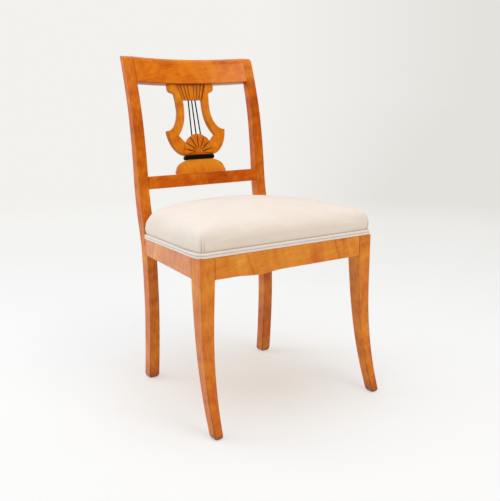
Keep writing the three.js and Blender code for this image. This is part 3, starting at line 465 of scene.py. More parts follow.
def crest_rail():
    profile = crest_profile()
    rings = []
    for share in joint_shares(2 * rail_half, 64):
        x = lerp(-rail_half, rail_half, share)
        bow = crest_bow * (1 - (x / rail_half) ** 2)
        rings.append([crest_frame @ Vector((x, y + bow, z)) for y, z, _ in profile])
    wooden("crest_rail", rings, (1, 0, 0.06), (0, 1, -0.3), 51, figure=0.35, red=0.8,
           tone=lambda x, z: lerp(-0.35, -0.75, np.maximum(0, -x / rail_half) ** 2),
           worn=[wear for _, _, wear in profile] * len(rings),
           # Painted shade along the crest rail's lower edge.
           cavity=[0.5 if z < arris else 0 for _, z, _ in profile] * len(rings),
           polish=lambda x, z: lerp(0.0, 0.35, np.maximum(0, x / rail_half)))


def lower_back_rail():
    ring = rounded_ring(0, lower_rail_thickness, 0, lower_rail_height)
    xs = [lerp(-rail_half, rail_half, share) for share in joint_shares(2 * rail_half, 24)]
    rings = [[lower_rail_frame @ Vector((x, y, z)) for y, z in ring] for x in xs]
    wooden("lower_back_rail", rings, (1, 0, -0.03), (0, 1, -0.3), 52, figure=0.3, red=1.0, polish=0,
           tone=lambda x, z: lerp(-0.6, -1.9, (x / rail_half + 1) / 2), worn=ring_wear(rings),
           cavity=joint_marks(rings))


# Lyre, in its own frame: x across, y from its front face back, z up its slope

plinth_height = 0.037
collar_height = 0.011
fan_height = 0.0429
window_top_half, fan_top_half = 0.0303, 0.046
crest_middle = crest_frame @ Vector((0, crest_bow, 0))
lyre_origin = lyre_frame.translation
lyre_height = (
    (crest_middle.z - lyre_origin.z - tan(crest_rake) * (lyre_origin.y - crest_middle.y))
    / (cos(lyre_rake) + tan(crest_rake) * sin(lyre_rake)))
bowl_foot = plinth_height + collar_height + fit
window_top = lyre_height - fan_height
horn_height = lerp(bowl_foot, window_top, 0.454)
window_foot = lerp(bowl_foot, window_top, 0.242)


def inset_outline(points, distance):
    """An outline moved inwards, its points running anticlockwise."""
    after = np.roll(points, -1, 0) - points
    normal = np.stack([-after[:, 1], after[:, 0]], 1) / np.linalg.norm(after, axis=1)[:, None]
    before = np.roll(normal, 1, 0)
    facing = np.maximum(1 + (normal * before).sum(1), 0.35)     # keeps sharp points from shooting off
    return points + (normal + before) / facing[:, None] * distance


def board(outline, front, back, edge, steps=3):
    """Rings of a board cut to an outline, with rounded edges, how worn each point is, and the painted shade
    on its rounded edges and sides.
    """
    outline = np.array(outline)
    x, z = outline.T
    if (x * np.roll(z, -1) - z * np.roll(x, -1)).sum() < 0:
        outline = outline[::-1]
    rows = [(edge + keep, front, 0), *quarter(0, front, east, north, edge, steps),
            *quarter(0, back, south, east, edge, steps), (edge + keep, back, 0)]
    rings = [[(x, y, z) for x, z in inset_outline(outline, inset)] for inset, y, _ in rows]
    worn = [wear for _, _, wear in rows for _ in outline]
    # Painted shade: the rounded edges and sides of the board are darkened.
    rim_shade = [rim_painted_shade * max(0, 1 - inset / edge) for inset, _, _ in rows for _ in outline]
    return rings, worn, rim_shade


def both_sides(right):
    """An outline from its right half."""
    return [tuple(p) for p in right] + [(-x, z) for x, z in reversed(right)]


def run_of(start, *moves):
    """An outline from a start and moves, each a list of a curve's further control points."""
    made = [start]
    for controls in moves:
        made += bezier([made[-1], *controls], 1 if len(controls) == 1 else 22)[1:]
    return made


def clear_of(frame_of, limit, pick):
    """A function that keeps a point beyond a limit height in a rail's own frame."""
    def settle(p):
        q = frame_of.inverted() @ p
        q.z = pick(q.z, limit)
        return frame_of @ q
    return settle


under_crest = clear_of(crest_frame, -fit, min)
over_lower_rail = clear_of(lower_rail_frame, lower_rail_height + fit, max)


def lyre_piece(node, rings, seed, tone, worn, cavity=0, settle=lambda p: p, **more):
    rings = [[settle(lyre_frame @ Vector(p)) for p in ring] for ring in rings]
    wooden(node, rings, (0.04, 0.25, 1), (0, 1, -0.25), seed, tone=tone, figure=0.3, worn=worn, cavity=cavity,
           red=0.25, polish=0, **more)


def lyre_board():
    bowl_foot_half, waist_half, capital_half, horn_half = 0.042, 0.051, 0.0715, 0.0917
    window_foot_half, window_horn_half = 0.0405, 0.0575
    capital_round = 0.0135
    capital_foot = lyre_height - 0.0244
    arm_bow = capital_round / 4

    def up_arms(share):
        return lerp(bowl_foot, window_top, share)

    right = run_of(
        (bowl_foot_half, bowl_foot),
        [(horn_half * 0.72, bowl_foot + capital_round / 8),
         (horn_half * 0.98, lerp(bowl_foot, horn_height, 0.45)), (horn_half, horn_height)],
        [(horn_half * 0.72, horn_height + arris),
         (waist_half + arm_bow, lerp(horn_height, window_top, 0.3)), (waist_half, up_arms(0.814))],
        [(waist_half, window_top), (waist_half + arm_bow, capital_foot)],
        [(capital_half, capital_foot + arm_bow), (capital_half, capital_foot + capital_round)],
        [(capital_half, lyre_height + overrun)],
        [(fan_top_half + fit, lyre_height + overrun)],
        [(window_top_half + fit, window_top)],
        [(window_top_half - arris, (window_top + horn_height) / 2),
         (window_top_half + arm_bow, up_arms(0.54)), (window_horn_half, up_arms(0.364))],
        [(window_foot_half, window_foot)])
    rings, worn, rim_shade = board(both_sides(right), 0, lyre_thickness, arris)
    lyre_piece("lyre_frame", rings, 61, -0.4, worn, rim_shade, under_crest)


def fan_panel():
    """Reeds in two groups with a plain strip between them, cut into a panel that widens upwards."""
    setback, thickness, cut = 0.002, 0.008, 0.0018
    lines = [0.2, 0.47, 0.73, 0.985]     # grooves on each side, as shares of the half width
    across, rows = 220, 40

    def groove(u, v):
        """How deep the carving is, 0 to 1, at a share u across from the middle and v up."""
        u = abs(u)
        if u < lines[0]:
            depth = max(0, 1 - (lines[0] - u) / 0.05) ** 2
        elif u > lines[-1]:
            depth = max(0, 1 - (u - lines[-1]) / 0.02)
        else:
            k = next(i for i in range(3) if u <= lines[i + 1])
            phase = (u - lines[k]) / (lines[k + 1] - lines[k])
            depth = 1 - sin(pi * phase) ** 0.6
        ends = min(1, (1 - v) / 0.09) * min(1, v / 0.03 + 0.45)
        return depth * max(ends, 0) ** 0.5

    rings, cavity, worn = [], [], []
    for j in range(rows + 1):
        v = j / rows
        half = lerp(window_top_half, fan_top_half, v)
        z = lerp(window_top, lyre_height + overrun, v)
        us = [2 * i / across - 1 for i in range(across + 1)]
        grooves = [groove(u, v) for u in us]
        ring = [(u * half, setback + cut * g, z) for u, g in zip(us, grooves)]
        rings.append(ring + [(half, setback + thickness, z), (-half, setback + thickness, z)])
        # Painted shade: the grooves are darkened, and the panel's top under the crest rail carries a painted
        # shadow.
        painted_crest_shadow = 0.9 * max(0, (v - 0.86) / 0.14) ** 0.5
        cavity += [min(1, max(g * 1.1, painted_crest_shadow)) for g in grooves] + [0, 0]
        worn += [max(0, 0.5 - g) for g in grooves] + [0, 0]
    lyre_piece("lyre_fan", rings, 62, -0.45, worn, cavity, under_crest, sharp=60)


def shell_carving():
    """A half-round shell of eight lobes on a low dome, above a plain band."""
    half_width, height, relief, rim_height, scallop = 0.047, 0.0514, 0.0040, 0.002, 0.0018
    aside = -0.0025                        # the carver set it a little to one side
    centre = bowl_foot + 0.0073
    base = 0.0057                          # the centre lies this far above the shell's straight foot
    hub, hub_run = 0.2, 0.12               # the grooves start at this share of the way out
    groove_depth, groove_half, groove_least = 0.0024, 0.0019, 0.0003
    lobe_swell, lobe_sink = 0.0011, 0.0004
    rim_start, rim_fall = 0.9, 0.0009      # the dome rounds over into the rim
    half_lobes = [27, 52, 77, 97]          # degrees from upright to each groove and to the last edge
    edges = [-a for a in reversed(half_lobes)] + [0] + half_lobes
    around, rows = 420, 44

    def lobe(angle):
        """Phase within a lobe and the lobe's width, at an angle from upright in degrees."""
        for low, high in zip(edges, edges[1:]):
            if low <= angle <= high:
                return (angle - low) / (high - low), high - low
        return None

    outline = []
    for i in range(around):
        angle = 360 * i / around - 180
        turn = radians(angle)
        found = lobe(angle)
        straight = base / -cos(turn) if cos(turn) < 0 else inf
        reach = 1 / hypot(sin(turn) / half_width, cos(turn) / height)
        if found:
            reach -= scallop * (1 - sin(pi * found[0]) ** 0.5)
        outline.append((turn, min(reach, straight), found))

    def rim_ring(rise):
        level = -max(rise, fit)
        return [(aside + r * sin(turn), level, centre + r * cos(turn)) for turn, r, _ in outline]

    rises = [rim_height * t for t in (0, 0.35, 0.7, 1)]
    rings = [rim_ring(rise) for rise in rises]
    cavity, worn = [0] * around * len(rises), [0.3] * around * len(rises)
    for share in 1 - np.linspace(0.012, 0.97, rows):
        ring = []
        for turn, reach, found in outline:
            r = reach * share
            dome = rim_height + (relief - rim_height) * (1 - share ** 2)
            cut = 0
            if found:
                phase, width = found
                side = min(phase, 1 - phase) * radians(width) * r
                half_cut = groove_half * sin(pi * share ** 1.1) ** 0.7 + groove_least
                from_hub = min(1, max(0, share - hub) / hub_run)
                cut = groove_depth * max(0, 1 - side / half_cut) ** 0.8 * from_hub
                dome += lobe_swell * sin(pi * phase) ** 0.8 * share - lobe_sink
            dome -= rim_fall * (max(0, share - rim_start) / (1 - rim_start)) ** 2
            ring.append((aside + r * sin(turn), -max(dome - cut, 0.0004), centre + r * cos(turn)))
            # Painted shade in the grooves between the lobes.
            cavity.append(min(0.85, cut / 0.0018))
            worn.append(max(0, 0.5 - cut / 0.001))
        rings.append(ring)
    lyre_piece("lyre_shell", rings, 63, -0.5, worn, cavity, sharp=60)


def collar_bar():
    half, thickness, proud = 0.0455, 0.020, 0.0025
    foot, top = plinth_height + fit / 2, plinth_height + collar_height - fit / 2
    middle, end = (foot + top) / 2, half - collar_height / 4
    outline = [(-end, foot), (end, foot), (half, middle), (end, top), (-end, top), (-half, middle)]
    rings, worn, _ = board(outline, -proud, thickness - proud, arris, 4)
    lyre_piece("lyre_collar", rings, 64, 0, worn, suffix="ebonised")


def plinth_block():
    foot_half, shoulder_half, top_half, step = 0.077, 0.074, 0.037, 0.009
    top, setback, thickness = plinth_height - fit / 2, 0.0005, 0.013
    right = run_of(
        (foot_half, -overrun), [(foot_half, step)], [(shoulder_half, step)],
        [(shoulder_half, top * 0.72), (top_half * 1.4, top * 0.92), (top_half, top)])
    rings, worn, rim_shade = board(both_sides(right), setback, setback + thickness, arris / 2)
    lyre_piece("lyre_plinth", rings, 65, 0.7, worn, rim_shade, over_lower_rail)


def lyre_string(index):
    """A thin dark rod from the window's foot to the fan."""
    radius, seat, foot_spacing, top_spacing = 0.0018, 0.005, 0.015, 0.0105
    foot = Vector((index * foot_spacing, lyre_thickness / 2, window_foot - seat))
    top = Vector((index * top_spacing, lyre_thickness / 2, window_top + seat))
    middles = [foot.lerp(top, i / 10) for i in range(11)]
    rings = [[(p.x + x, p.y + y, p.z) for x, y in circle(radius, 14)] for p in middles]
    lyre_piece(f"lyre_string_{index + 2}", rings, 66 + index, 0, 0, suffix="dark")


# Screws in the corner blocks

def block_screw(node):
    """A slotted wood screw on the axis that the node's solid has."""
    points = np.array([v.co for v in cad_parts[node].data.vertices]) - (0, front_faces, 0)
    middle = (points.min(0) + points.max(0)) / 2
    axis = np.linalg.svd(points - middle, full_matrices=False)[2][0]
    along = (points - middle) @ axis
    spread = np.linalg.norm(points - middle - np.outer(along, axis), axis=1)
    if along[spread.argmax()] > 0:
        axis, along = -axis, -along
    tip, head = along.max(), along.min()
    axis = Vector(axis)
    side = axis.orthogonal().normalized()
    other = axis.cross(side)
    head_radius, head_height, shank, slot, slot_depth = 0.004, 0.0024, 0.0019, 0.0006, 0.0011
    thread_pitch, thread_start, thread_root = 0.0013, 0.0105, 0.82
    point_length, point_radius = 0.0035, 0.0002
    rows = [(head + z, head_radius * share, True)
            for share, z in ((0.6, 0), (0.92, 0.00012), (1, 0.0004), (1, 0.0009))]
    rows += [(head + head_height, shank, False), (head + thread_start - 0.0005, shank, False)]
    for i in range(int((tip - head - thread_start - point_length) / thread_pitch * 4)):
        radius = shank * (1 if i % 4 == 1 else thread_root)
        rows.append((head + thread_start + i * thread_pitch / 4, radius, False))
    rows.append((tip - point_radius, point_radius, False))
    rings = []
    for z, radius, capped in rows:
        ring = []
        for along_slot, across in circle(radius, 28):
            sunk = slot_depth if capped and abs(across) < slot else 0
            ring.append(Vector(middle) + axis * (z + sunk) + side * along_slot + other * across)
        rings.append(ring)
    make_piece(node, "slotted", rings, 30)


# Seat: webbing, hessian, cushion and piping

strap_width, strap_thickness, strap_ease = 0.050, 0.0015, 0.02
strap_middle = tacking_height + fit + strap_thickness / 2
strap_weave = (strap_thickness + fit) / 2 + fit / 4
along_places = [-0.096, 0, 0.096]
across_places = [rear_rail_back / 2 + k * 0.092 for k in (-1, 0, 1)]
hessian_level = strap_middle + strap_weave + strap_thickness / 2 + fit
hessian_thickness = 0.0009


def strap_height(run, crossings):
    """How far a strap lies over or under its middle level, passing the straps that it crosses."""
    height = 0
    for place, over in crossings:
        ease = min(1, (strap_width / 2 + strap_ease - abs(run - place)) / strap_ease)
        if ease > 0:
            height += (1 if over else -1) * strap_weave * ease * ease * (3 - 2 * ease)
    return height


def strap(node, start, end, crossings, place):
    """A woven strap from rail to rail; place(run, across) gives x and y in the seat's frame."""
    half, thick = strap_width / 2, strap_thickness / 2
    steps, across = 120, 20
    rings, cloth = [], []
    for i in range(steps + 1):
        run = lerp(start, end, i / steps)
        level = strap_middle + strap_height(run, crossings)
        ring = []
        for face in (1, -1):
            for k in range(across + 1):
                w = face * (2 * k / across - 1)
                selvedge = 0.78 + 0.22 * min(1, (1 - abs(w)) / 0.05) if abs(w) < 1 else 0.55
                x, y = place(run, w * half)
                ring.append(seat_frame @ Vector((x, y, level + face * thick * selvedge)))
                cloth.append((w * half, run, face * 0.2))
        rings.append(ring)
    mark(make_piece(node, "woven", rings, 60), cloth=cloth)


def webbing_straps():
    inset = 2 * rebate
    for i, place in enumerate(along_places):
        crossings = [(y, (i + j) % 2 == 0) for j, y in enumerate(across_places)]
        strap(f"webbing_along_{i + 1}", inset, rear_rail_back - inset, crossings,
              lambda run, across: (place + across, run))
    for j, place in enumerate(across_places):
        half = front_half + (place - leg_depth) * side_run.x / side_run.y - inset - strap_thickness
        crossings = [(x, (i + j) % 2 == 1) for i, x in enumerate(along_places)]
        strap(f"webbing_across_{j + 1}", -half, half, crossings, lambda run, across: (run, place + across))


def plan_corners(inset):
    """Corners of the seat's right half, moved inwards: front, at the leg, and rear."""
    right = [(front_half, 0), (front_half, leg_depth), (rear_half, rear_rail_back)]
    outline = [Vector(p) for p in both_sides(right)]
    made = []
    for k, here in enumerate(outline[:3]):
        a, b = (here - outline[k - 1]).normalized(), (outline[k + 1] - here).normalized()
        na, nb = Vector((-a.y, a.x)), Vector((-b.y, b.x))
        made.append(here + (na + nb) * inset / (1 + na.dot(nb)))
    return made


plan_counts = {"front": 56, "corner": 22, "leg": 16, "side": 64, "post": 8, "inside": 6, "rear": 40}


def seat_plan(inset, notch=inf, corner_round=0.014, counts=plan_counts):
    """The seat's plan as evenly kept points, notched round the rear posts where notch gives their face."""
    front, kink, rear = plan_corners(inset)
    least_round, least_notch = 0.003, 0.002
    radius = max(corner_round - inset, least_round)
    notch = min(notch, rear.y - least_notch)
    inside = post_inner - 2 * fit
    half = []

    def line(a, b, part, power=1.0):
        count = counts[part]
        half.extend(Vector(a).lerp(Vector(b), 1 - (1 - i / count) ** power) for i in range(count))

    line((0, front.y), (front.x - radius, front.y), "front", 1.7)
    for i in range(counts["corner"]):
        turn = pi / 2 * i / counts["corner"]
        half.append(Vector((front.x - radius + radius * sin(turn),
                            front.y + radius - radius * cos(turn))))
    line((front.x, front.y + radius), kink, "leg")
    beside = kink.lerp(rear, (notch - kink.y) / (rear.y - kink.y))
    line(kink, beside, "side")
    line(beside, (inside, notch), "post")
    line((inside, notch), (inside, rear.y), "inside")
    line((inside, rear.y), (0, rear.y), "rear")
    return half + [Vector((0, rear.y))] + [Vector((-p.x, p.y)) for p in reversed(half[1:])]


cushion_middle = rear_rail_back / 2
plan_middle = Vector((0, cushion_middle))
cushion_front, cushion_rear = 0.066, 0.080
crown, shoulder_round = 0.0268, 0.023
corner_sinks = {"front": 0.005, "rear": 0.034}
side_bulge = 0.0030
cover_thickness = 0.0015
cover_inset = rebate - fit - cover_thickness
piping_cord = 0.0066
piping_press_share = 0.94
piping_inset = cover_inset - fit - piping_cord / 2


def cushion_top(x, y):
    """The crown dies away towards the edges, and the corners are pulled down."""
    half = lerp(front_half, rear_half, y / rear_rail_back)
    u = min(abs(x) / half, 1)
    v = min(abs(y - cushion_middle) / cushion_middle, 1)
    sink = corner_sinks["front" if y < cushion_middle else "rear"]
    shoulder = seat_plane(y) + lerp(cushion_front, cushion_rear, y / rear_rail_back)
    return shoulder + crown * (1 - u * u) * (1 - v * v) - sink * (u * v) ** 4


def above_piping(p):
    return p[2] - seat_plane(p[1]) - 2 * piping_cord


def cushion_rows():
    """Rows from the middle of the top, over the shoulder, down the side, and under to the middle.
    Each is (inset, share of the way out from the middle, height function)."""
    def over_seat(inset, share, rise):
        return inset, share, lambda x, y: seat_plane(y) + rise

    def below_top(inset, share, drop):
        return inset, share, lambda x, y: cushion_top(x, y) - drop

    def on_side(inset, down):
        return inset, 1, lambda x, y: lerp(
            cushion_top(x, y) - shoulder_round, seat_plane(y) + 2 * piping_cord * 0.9, down)

    shoulder_share = 1 - shoulder_round / front_half
    rows = [below_top(cover_inset, shoulder_share * share, 0) for share in np.linspace(0.015, 1, 30)[:-1]]
    for turn in reversed(turns(12)):
        share = 1 - (1 - shoulder_share) * (1 - cos(turn))
        inset = cover_inset - side_bulge / 2 * (1 - sin(turn)) ** 0.5
        rows.append(below_top(inset, share, shoulder_round * (1 - sin(turn))))
    for down in 1 - np.linspace(1, 0, 19)[1:] ** 1.5:
        rows.append(on_side(cover_inset - side_bulge * sin(pi * (0.15 + 0.85 * down) ** 0.8), down))
    rows += [over_seat(cover_inset, 1, rise) for rise in (0.008, 0.004, fit)]
    under = cover_inset + cover_thickness
    rows.append(over_seat(under, 1, fit))
    stuffed = hessian_level + hessian_thickness + fit
    return rows + [over_seat(under, share, stuffed) for share in (1, 0.85, 0.6, 0.3, 0.02)]


def row_points(inset, share, height):
    """A cushion row's points, and the stations of its plan."""
    notch = post["front"](height(post_inner, seat_depth)) - 2 * fit
    stations = seat_plan(inset, notch)
    points = [plan_middle.lerp(s, share) for s in stations]
    return [Vector((p.x, p.y, height(p.x, p.y))) for p in points], stations


def outward(stations):
    """Unit vectors out of a plan at each of its points."""
    steps = [stations[(k + 1) % len(stations)] - stations[k - 1] for k in range(len(stations))]
    return [Vector((step.y, -step.x)).normalized() for step in steps]


def swell(rings):
    """Blows the stuffed form up a little as cloth, and gives its points and how far each moves."""
    voxel, frames, farthest = 0.006, 20, 0.004
    held_height, held_run = 0.004, 0.02         # the cover stays put just over the piping
    scene = bpy.context.scene
    body = in_scene("swelling", closed_mesh("swelling", rings))
    bpy.context.view_layer.objects.active = body
    remesh = body.modifiers.new("remesh", "REMESH")
    remesh.mode, remesh.voxel_size = "VOXEL", voxel
    bpy.ops.object.modifier_apply(modifier="remesh")
    rest = np.array([v.co for v in body.data.vertices])
    held = body.vertex_groups.new(name="held")
    for i, p in enumerate(rest):
        above = above_piping(p)
        held.add([i], 1.0 if above < held_height else max(0.0, 1 - above / held_run), "REPLACE")
    cloth = body.modifiers.new("cloth", "CLOTH")
    settings = {
        "quality": 5, "mass": 0.3, "tension_stiffness": 25, "compression_stiffness": 25,
        "shear_stiffness": 8, "bending_stiffness": 0.4, "use_pressure": True,
        "uniform_pressure_force": 0.8, "vertex_group_mass": "held"}
    for name, value in settings.items():
        setattr(cloth.settings, name, value)
    cloth.settings.effector_weights.gravity = 0
    cloth.point_cache.frame_start, cloth.point_cache.frame_end = 1, frames
    for step in range(1, frames + 1):
        scene.frame_set(step)
    moved = body.evaluated_get(bpy.context.evaluated_depsgraph_get())
    shift = np.array([v.co for v in moved.data.vertices]) - rest
    scene.frame_set(1)
    far = np.linalg.norm(shift, axis=1)
    bpy.data.objects.remove(body)
    return rest, shift * np.minimum(1, farthest / np.maximum(far, 1e-9))[:, None]


def swelled(rings):
    """The rings moved as the points of the swelled cloth near them moved."""
    rest, shift = swell(rings)
    tree = KDTree(len(rest))
    for i, p in enumerate(rest):
        tree.insert(p, i)
    tree.balance()
    nearest, blur, fade = 8, 0.002, 0.01
    made = []
    for ring in rings:
        made.append([])
        for p in ring:
            push = Vector()
            if above_piping(p) > 0:
                near = [(Vector(shift[i]), 1 / (d + blur) ** 2) for _, i, d in tree.find_n(p, nearest)]
                push = sum((step * weight for step, weight in near), push) / sum(w for _, w in near)
            made[-1].append(p + push * min(1, above_piping(p) / fade))
    return made


def cushion():
    """The stuffed seat: its cover as one closed form, swelled as cloth, then pleated at its front corners."""
    rows = cushion_rows()
    rings, plans = zip(*[row_points(*row) for row in rows])
    rings = swelled(rings)
    # Painted shade on the cover: a dark line just above the piping, darkened pleat folds, and a warmer,
    # darker tint down its sides.
    seam_shade, seam_run, warm_shade_run_down = 0.45, 0.0025, 0.035
    cloth, painted_shades, sides = [], [], []
    for ring, plan, (_, share, _) in zip(rings, plans, rows):
        for k, (p, normal) in enumerate(zip(ring, outward(plan))):
            drop = max(0, cushion_top(p.x, p.y) - p.z)
            shade = seam_shade * max(0, min(1, 1 - above_piping(p) / seam_run))
            if share == 1:
                push, crease_and_painted_shade = fold_depth(plan[k], above_piping(p))
                ring[k] = p + Vector((normal.x, normal.y, 0)) * push
                shade = max(shade, crease_and_painted_shade)
            painted_shades.append(shade)
            # How far down the side a point lies, for the painted warm shade there.
            sides.append(min(1, drop / warm_shade_run_down))
            cloth.append((p.x + normal.x * drop, p.y + normal.y * drop, 0))
    piece = make_piece("seat", "cushion", rings, 70, ["seat_cover", "seat_stuffing"])
    mark(piece, cloth=cloth, crease_and_painted_shade=painted_shades, side=sides)


def fold_depth(here, above):
    """How far the cover stands out at a station, and how deeply creased it is there, which the cover also
    shows
    as painted shade: two pleats at each front corner, and slight pulls along the piping."""
    fold_height, tucked = 0.040, -0.006
    corner_reach, corner_depth = 0.04, 0.03
    first, second = 0.001, 0.0095               # the pleats, from the corner's middle along the front
    crease_half, flap_ease = 0.0010, 0.0006
    crease_depth, flap_height, pull_depth = 0.0021, 0.0013, 0.0003
    fade = min(1, max(0, 1 - above / fold_height))
    if above < tucked or fade == 0:
        return 0, 0
    pull = pull_depth * noise.noise(Vector((here.x * 60, here.y * 60, 3))) * fade
    front = plan_corners(cover_inset)[0]
    if here.y > corner_depth or abs(here.x) < front.x - corner_reach:
        return pull, 0
    turn = front.x - abs(here.x) - (here.y - front.y)
    crease_and_painted_shade = sum(exp(-((turn - place) / crease_half) ** 2) for place in (first, second))
    past_first, past_second = (1 / (1 + exp(-(turn - place) / flap_ease)) for place in (first, second))
    flap = past_first - past_second
    return pull + (flap_height * flap - crease_depth * crease_and_painted_shade) * fade ** 0.6, crease_and_painted_shade * fade ** 0.6


def hessian_cloth():
    """Open-weave cloth over the webbing, tacked along the rails."""
    counts = {"front": 12, "corner": 3, "leg": 2, "side": 16, "post": 3, "inside": 2, "rear": 10}
    notch = post["front"](seat_plane(seat_depth) + hessian_level) - 2 * fit
    plan = seat_plan(rebate + piping_cord / 2, notch, 0, counts)
    shares = np.linspace(0.03, 1, 24)
    rows = [(hessian_level + hessian_thickness, share) for share in shares]
    rows += [(hessian_level, share) for share in reversed(shares)]
    rings, cloth = [], []
    for level, share in rows:
        points = [plan_middle.lerp(station, share) for station in plan]
        rings.append([(p.x, p.y, seat_plane(p.y) + level) for p in points])
        cloth += [(p.x, p.y, level * 10) for p in points]
    piece = make_piece("hessian", "cloth", rings, 60)
    mark(piece, cloth=cloth)


def piping(node, path):
    """Double piping along a path: two pressed cords in bias-cut cloth, one above the other, with painted
    shade in the groove between them.
    """
    radius = piping_cord / 2
    limit = pi - acos(piping_press_share)
    steps, groove_start, groove_shade = 14, 0.72, 0.35
    profile, painted_groove_shade = [], []
    for cord in (-1, 1):
        for i in range(steps + 1):
            turn = lerp(-limit, limit, i / steps)
            out, up = sin(turn), piping_press_share + cos(turn)
            profile.append((cord * radius * out, cord * radius * up))
            painted_groove_shade.append(groove_shade * max(0, abs(turn) / limit - groove_start) / (1 - groove_start))
    moves = [b - a for a, b in zip(path, path[1:])]
    tangents = [moves[0]] + [(a + b).normalized() for a, b in zip(moves, moves[1:])] + [moves[-1]]
    rings, cloth = [], []
    run = 0
    for k, here in enumerate(path):
        run += moves[k - 1].length if k else 0
        side = Vector((tangents[k].y, -tangents[k].x, 0)).normalized()
        swelling = 1 + 0.012 * noise.noise(Vector((run * 90, 0, 1)))
        rings.append([here + side * out * swelling + Vector((0, 0, up)) for out, up in profile])
        around = [i * 2 * limit * radius / steps for i in range(len(profile))]
        cloth += [(run + a, run - a, 0) for a in around]

    def cap(ring):
        """Two smaller rings that round off an end."""
        middle = sum(ring, Vector()) / len(ring)
        return [[middle.lerp(p, share) for p in ring] for share in (0.93, 0.93 * 0.75)]

    row = len(profile)
    rings = cap(rings[0])[::-1] + rings + cap(rings[-1])
    cloth = cloth[:row] * 2 + cloth + cloth[-row:] * 2
    mark(make_piece(node, "cords", rings, 75), cloth=cloth, crease_and_painted_shade=painted_groove_shade * len(rings))


def both_pipings():
    stop = post["front"](seat_plane(seat_depth)) - 2 * fit
    counts = dict(plan_counts, front=70, corner=18, leg=16, side=110)
    half = seat_plan(piping_inset, stop, counts=counts)
    right = half[1:sum(counts[part] for part in ("front", "corner", "leg", "side")) + 1]
    plan = [Vector((-p.x, p.y)) for p in reversed(right)] + [half[0]] + right

    def on_seat(x, y):
        return Vector((x, y, seat_plane(y) + piping_cord))

    path = [on_seat(p.x, p.y) for p in plan]
    for _ in range(3):
        inner = [(a + b * 2 + c) / 4 for a, b, c in zip(path, path[1:], path[2:])]
        path = [path[0], *inner, path[-1]]
    piping("piping_front", path)
    end = post_inner - 2 * fit
    piping("piping_rear", [on_seat(x, rear_rail_back - piping_inset) for x in np.linspace(end, -end, 90)])


# Materials

def srgb(red, green, blue):
    """A colour from its 0 to 255 values on a screen."""
    def linear(value):
        value /= 255
        return value / 12.92 if value <= 0.04045 else ((value + 0.055) / 1.055) ** 2.4
    return (linear(red), linear(green), linear(blue), 1)


class Nodes:
    """A node tree under construction. Each method adds a node and gives back its output. Colours are given
    by their 0 to 255 values on a screen."""

    def __init__(self, tree):
        self.tree = tree

    def add(self, kind, inputs, output=0, **settings):
        node = self.tree.nodes.new(kind)
        for key, value in settings.items():
            setattr(node, key, value)
        for key, value in inputs.items():
            self.feed(node.inputs[key], value)
        return node.outputs[output]

    def feed(self, socket, value):
        if isinstance(value, bpy.types.NodeSocket):
            self.tree.links.new(value, socket)
        else:
            socket.default_value = srgb(*value) if socket.type == "RGBA" else value

    def mark(self, name, output="Fac"):
        return self.add("ShaderNodeAttribute", {}, output, attribute_name=name)

    def axis(self, vector, name):
        return self.add("ShaderNodeSeparateXYZ", {0: vector}, name)

    def vector(self, operation, *places, output="Vector"):
        return self.add("ShaderNodeVectorMath", dict(enumerate(places)), output, operation=operation)

    def noise(self, place, scale, detail=2.0, distortion=0.0, output="Fac"):
        place = self.vector("MULTIPLY", place, scale)
        inputs = {"Vector": place, "Scale": 1.0, "Detail": detail, "Distortion": distortion}
        return self.add("ShaderNodeTexNoise", inputs, output)

    def shaken(self, place, scale, reach, detail=2.0):
        """A place moved about by soft noise."""
        return self.vector("MULTIPLY_ADD", self.noise(place, scale, detail, output="Color"), reach, place)

    def maths(self, operation, a, b=0.0, c=0.0):
        return self.add("ShaderNodeMath", {0: a, 1: b, 2: c}, operation=operation)

    def times(self, a, b, plus=0.0):
        return self.maths("MULTIPLY_ADD", a, b, plus)

    def spread(self, value, low, high, to_low=0.0, to_high=1.0):
        inputs = {"Value": value, "From Min": low, "From Max": high, "To Min": to_low, "To Max": to_high}
        return self.add("ShaderNodeMapRange", inputs)

    def mix(self, factor, a, b, blend="MIX"):
        return self.add("ShaderNodeMix", {0: factor, 6: a, 7: b}, 2, data_type="RGBA", blend_type=blend)

    def layers(self, colour, *coats):
        """A colour under coats, each a (factor, colour)."""
        for factor, coat in coats:
            colour = self.mix(factor, colour, coat)
        return colour

    def ramp(self, value, places, colours):
        node = self.tree.nodes.new("ShaderNodeValToRGB")
        elements = node.color_ramp.elements
        while len(elements) < len(places):
            elements.new(0.5)
        for element, place, colour in zip(elements, places, colours):
            element.position, element.color = place, srgb(*colour)
        self.tree.links.new(value, node.inputs[0])
        return node.outputs[0]

    def sum_of(self, base, *terms):
        """base plus each (value, weight), the value counted from its middle."""
        for value, weight in terms:
            base = self.times(self.maths("SUBTRACT", value, 0.5), weight, base)
        return base


class Finish(Nodes):
    """A material: fixed holds the shader's plain values."""

    def __init__(self, name, **fixed):
        self.material = bpy.data.materials.new(name)
        self.material.use_nodes = True
        super().__init__(self.material.node_tree)
        self.shader = self.tree.nodes["Principled BSDF"]
        for key, value in fixed.items():
            self.shader.inputs[key.replace("_", " ").title().replace("Ior", "IOR")].default_value = value

    def finish(self, colour, roughness, relief=None, depth=0.0001, strength=0.5):
        """Feeds the shader, with bump from a relief whose depth is in metres."""
        self.feed(self.shader.inputs["Base Color"], colour)
        self.feed(self.shader.inputs["Roughness"], roughness)
        if relief:
            inputs = {"Strength": strength, "Distance": depth, "Height": relief}
            self.feed(self.shader.inputs["Normal"], self.add("ShaderNodeBump", inputs))
        return self.material


